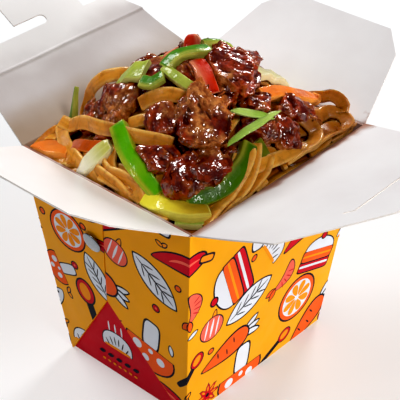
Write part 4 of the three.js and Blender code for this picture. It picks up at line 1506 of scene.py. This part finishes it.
# keeps a piece close to its block's surface, within the carton, and under the strips that lie on it
def holdIn(shape, centre, block):
    held = []
    for vert in shape.verts:
        near, facing, _, _ = block.find_nearest(vert.co)
        over = (vert.co - near).dot(facing)
        held.append(vert.co - facing * max(0, over - meat["give"]) * 0.92)
    places = np.array(held)
    for strip in vegetables.values():
        halfWidth, halfThickness = (
            strip[size] / 2 + spare for size, spare in zip(("width", "thickness"), meat["clearance"])
        )
        path = curvePoints(strip["places"], 1.0)
        for point, normal in zip(*onHeap(path, [p.z for p in path])):
            if (centre - point).dot(normal) > -1:
                continue
            away = places - np.array(point)
            rise = away @ np.array(normal)
            aside = np.linalg.norm(away - rise[:, None] * np.array(normal), axis=1)
            hit = (aside < halfWidth) & (rise > -halfThickness) & (rise < halfThickness + 4)
            places[hit] -= np.outer(rise[hit] + halfThickness, normal)
    for vert, spot in zip(shape.verts, places):
        vert.co = spot
    keepBetween(shape)


# fibres run along the grain, over crags and finer bumps
def roughen(shape, grain, offset):
    shape.normal_update()
    moves = []
    for vert in shape.verts:
        spot = vert.co + offset
        along = grain * spot.dot(grain)
        fibre = 0.5 - 2 * abs(noise.noise((spot - along) * 0.85 + along * 0.12))
        crag, fine = noise.noise(spot / 3.2), noise.noise(spot * 0.6)
        moves.append(meat["fibre"] * fibre + meat["crag"] * crag + meat["fine"] * fine)
    for vert, move in zip(shape.verts, moves):
        vert.co += vert.normal * move


def makeMeat():
    fewest, most = meat["slices"]
    for index, name in enumerate(meatNodes):
        draw = random.Random(100 + index)
        shape, place, half = blockFrame(name)
        block = BVHTree.FromBMesh(shape)
        fill = place @ Matrix.Diagonal((*meat["fill"], 1)) @ place.inverted()
        bmesh.ops.transform(shape, matrix=fill, verts=shape.verts)
        for _ in range(min(most, max(fewest, round(half[0] * half[1] / meat["sliceArea"])))):
            addSlice(shape, place, half, draw)
        shape = voxelJoin(shape, meat["voxel"])
        easeSurface(shape, 0.5)
        grain = place.to_3x3() @ Vector((1, draw.uniform(-0.5, 0.5), draw.uniform(-0.2, 0.2)))
        roughen(shape, grain.normalized(), Vector((37.1 * index, 11.3 * index, 0)))
        holdIn(shape, place.translation, block)
        for _ in range(2):
            easeSurface(shape, 0.4)
        shape.normal_update()
        relief = shape.verts.layers.float.new("relief")
        shape.verts.ensure_lookup_table()
        for vert, height in zip(shape.verts, standOut(shape, meat["reliefSteps"])):
            vert[relief] = limited(0.5 + height / 1.6)
        addPiece(name + "_glazed", shape, [meatSkin], node=name, sharpAngle=80)


addCamera()
addLights()
floorShape = bmesh.new()
bmesh.ops.create_grid(floorShape, x_segments=1, y_segments=1, size=4000)
addPiece("floor", floorShape, [floorFinish()], body=None)
print("camera, lights and floor stand")

boardInks = {name: boardFinish("ink_" + name, code) for name, code in inks.items()}
rawEdge = boardFinish("board_edge", "e4dfda", roughness=0.7)
insideWall = insideFinish("board_inside_wall", film=wallFilm)
# painted shade on the back flap's inside by the crease, for the heap's shadow, and painted light out by the
# tab
paintedShadeBands = {"near": "a89684", "from": 0.044, "middle": 0.062, "past": 0.070, "end": 0.084, "far": "f4f2f1"}
flapInsides = {
    "flap_front": insideFinish("board_inside_stained", film=creaseFilms),
    "flap_right": insideFinish("board_inside_corner", film=cornerFilm),
    # the back flap's board is painted a darker grey, as painted shade
    "flap_back": insideFinish("board_inside_painted_shade", plain="cdc7c6", cool="c2bab8", shades=paintedShadeBands),
    # the left flap's board is painted lighter, as painted light
    "flap_left": insideFinish("board_inside_painted_light", plain="fbf8f7", cool="f5f1ef"),
}
sauce = sauceFinish()
noodleSkin = noodleFinish()
meatSkin = meatFinish()
plants = {
    "redPepper": plantFinish("red_pepper", "d02c0c", "f49c74", "94140a", side=-0.6, dry=0.46, clouds=0.4),
    "greenBright": plantFinish("pepper_bright", "66b80c", "bcbc38", "4a940a", side=-0.8, dry=0.48, wet=0.45),
    "greenPepper": plantFinish("green_pepper", "4e8e12", "bcbc54", "38700a", side=-0.7, dry=0.47),
    "greenDark": plantFinish("green_pepper_dark", "4c7c08", "a4a434", "284c04", side=-0.55, dry=0.43),
    "paleGreen": plantFinish("pale_pepper", "b3c050", "dcd884", "7f9530"),
    "courgette": plantFinish("courgette", "7d8420", "b0a840", "3d4a10"),
    "yellowPepper": plantFinish("yellow_pepper", "bc9824", "f0e86c", "94741a", light="fcee48", dry=0.42),
    "carrot": plantFinish("carrot", "f07c0c", "fcae54", "b44c0c", gloss=0.42, dry=0.4),
    "carrotSauced": plantFinish("carrot_sauced", "c85c12", "e48c34", "8c3208", dry=0.36, clouds=0.1),
    "springOnion": plantFinish("spring_onion", "9cc444", "cce08c", "70a428", veins=12, light="b8d470"),
    "onionWhite": plantFinish("onion_white", "ccc868", "f4eec0", "a8ac40", veins=8, light="fffae0", clouds=0),
    "cabbage": plantFinish("cabbage", "ccc28c", "e0d8b0", "a09c58", veins=9),
}
steel = steelFinish()
print("finishes are mixed")

makeCarton()
makeClips()
makePrint()
print("carton is printed")
for flapName, flapSettings in flaps.items():
    makeFlap(flapName, flapSettings)
    makeFlapPrint(flapName, flapSettings)
print("flaps are creased")
makeCore()
makeNoodles()
makeVegetables()
makeMeat()
print("food is laid")
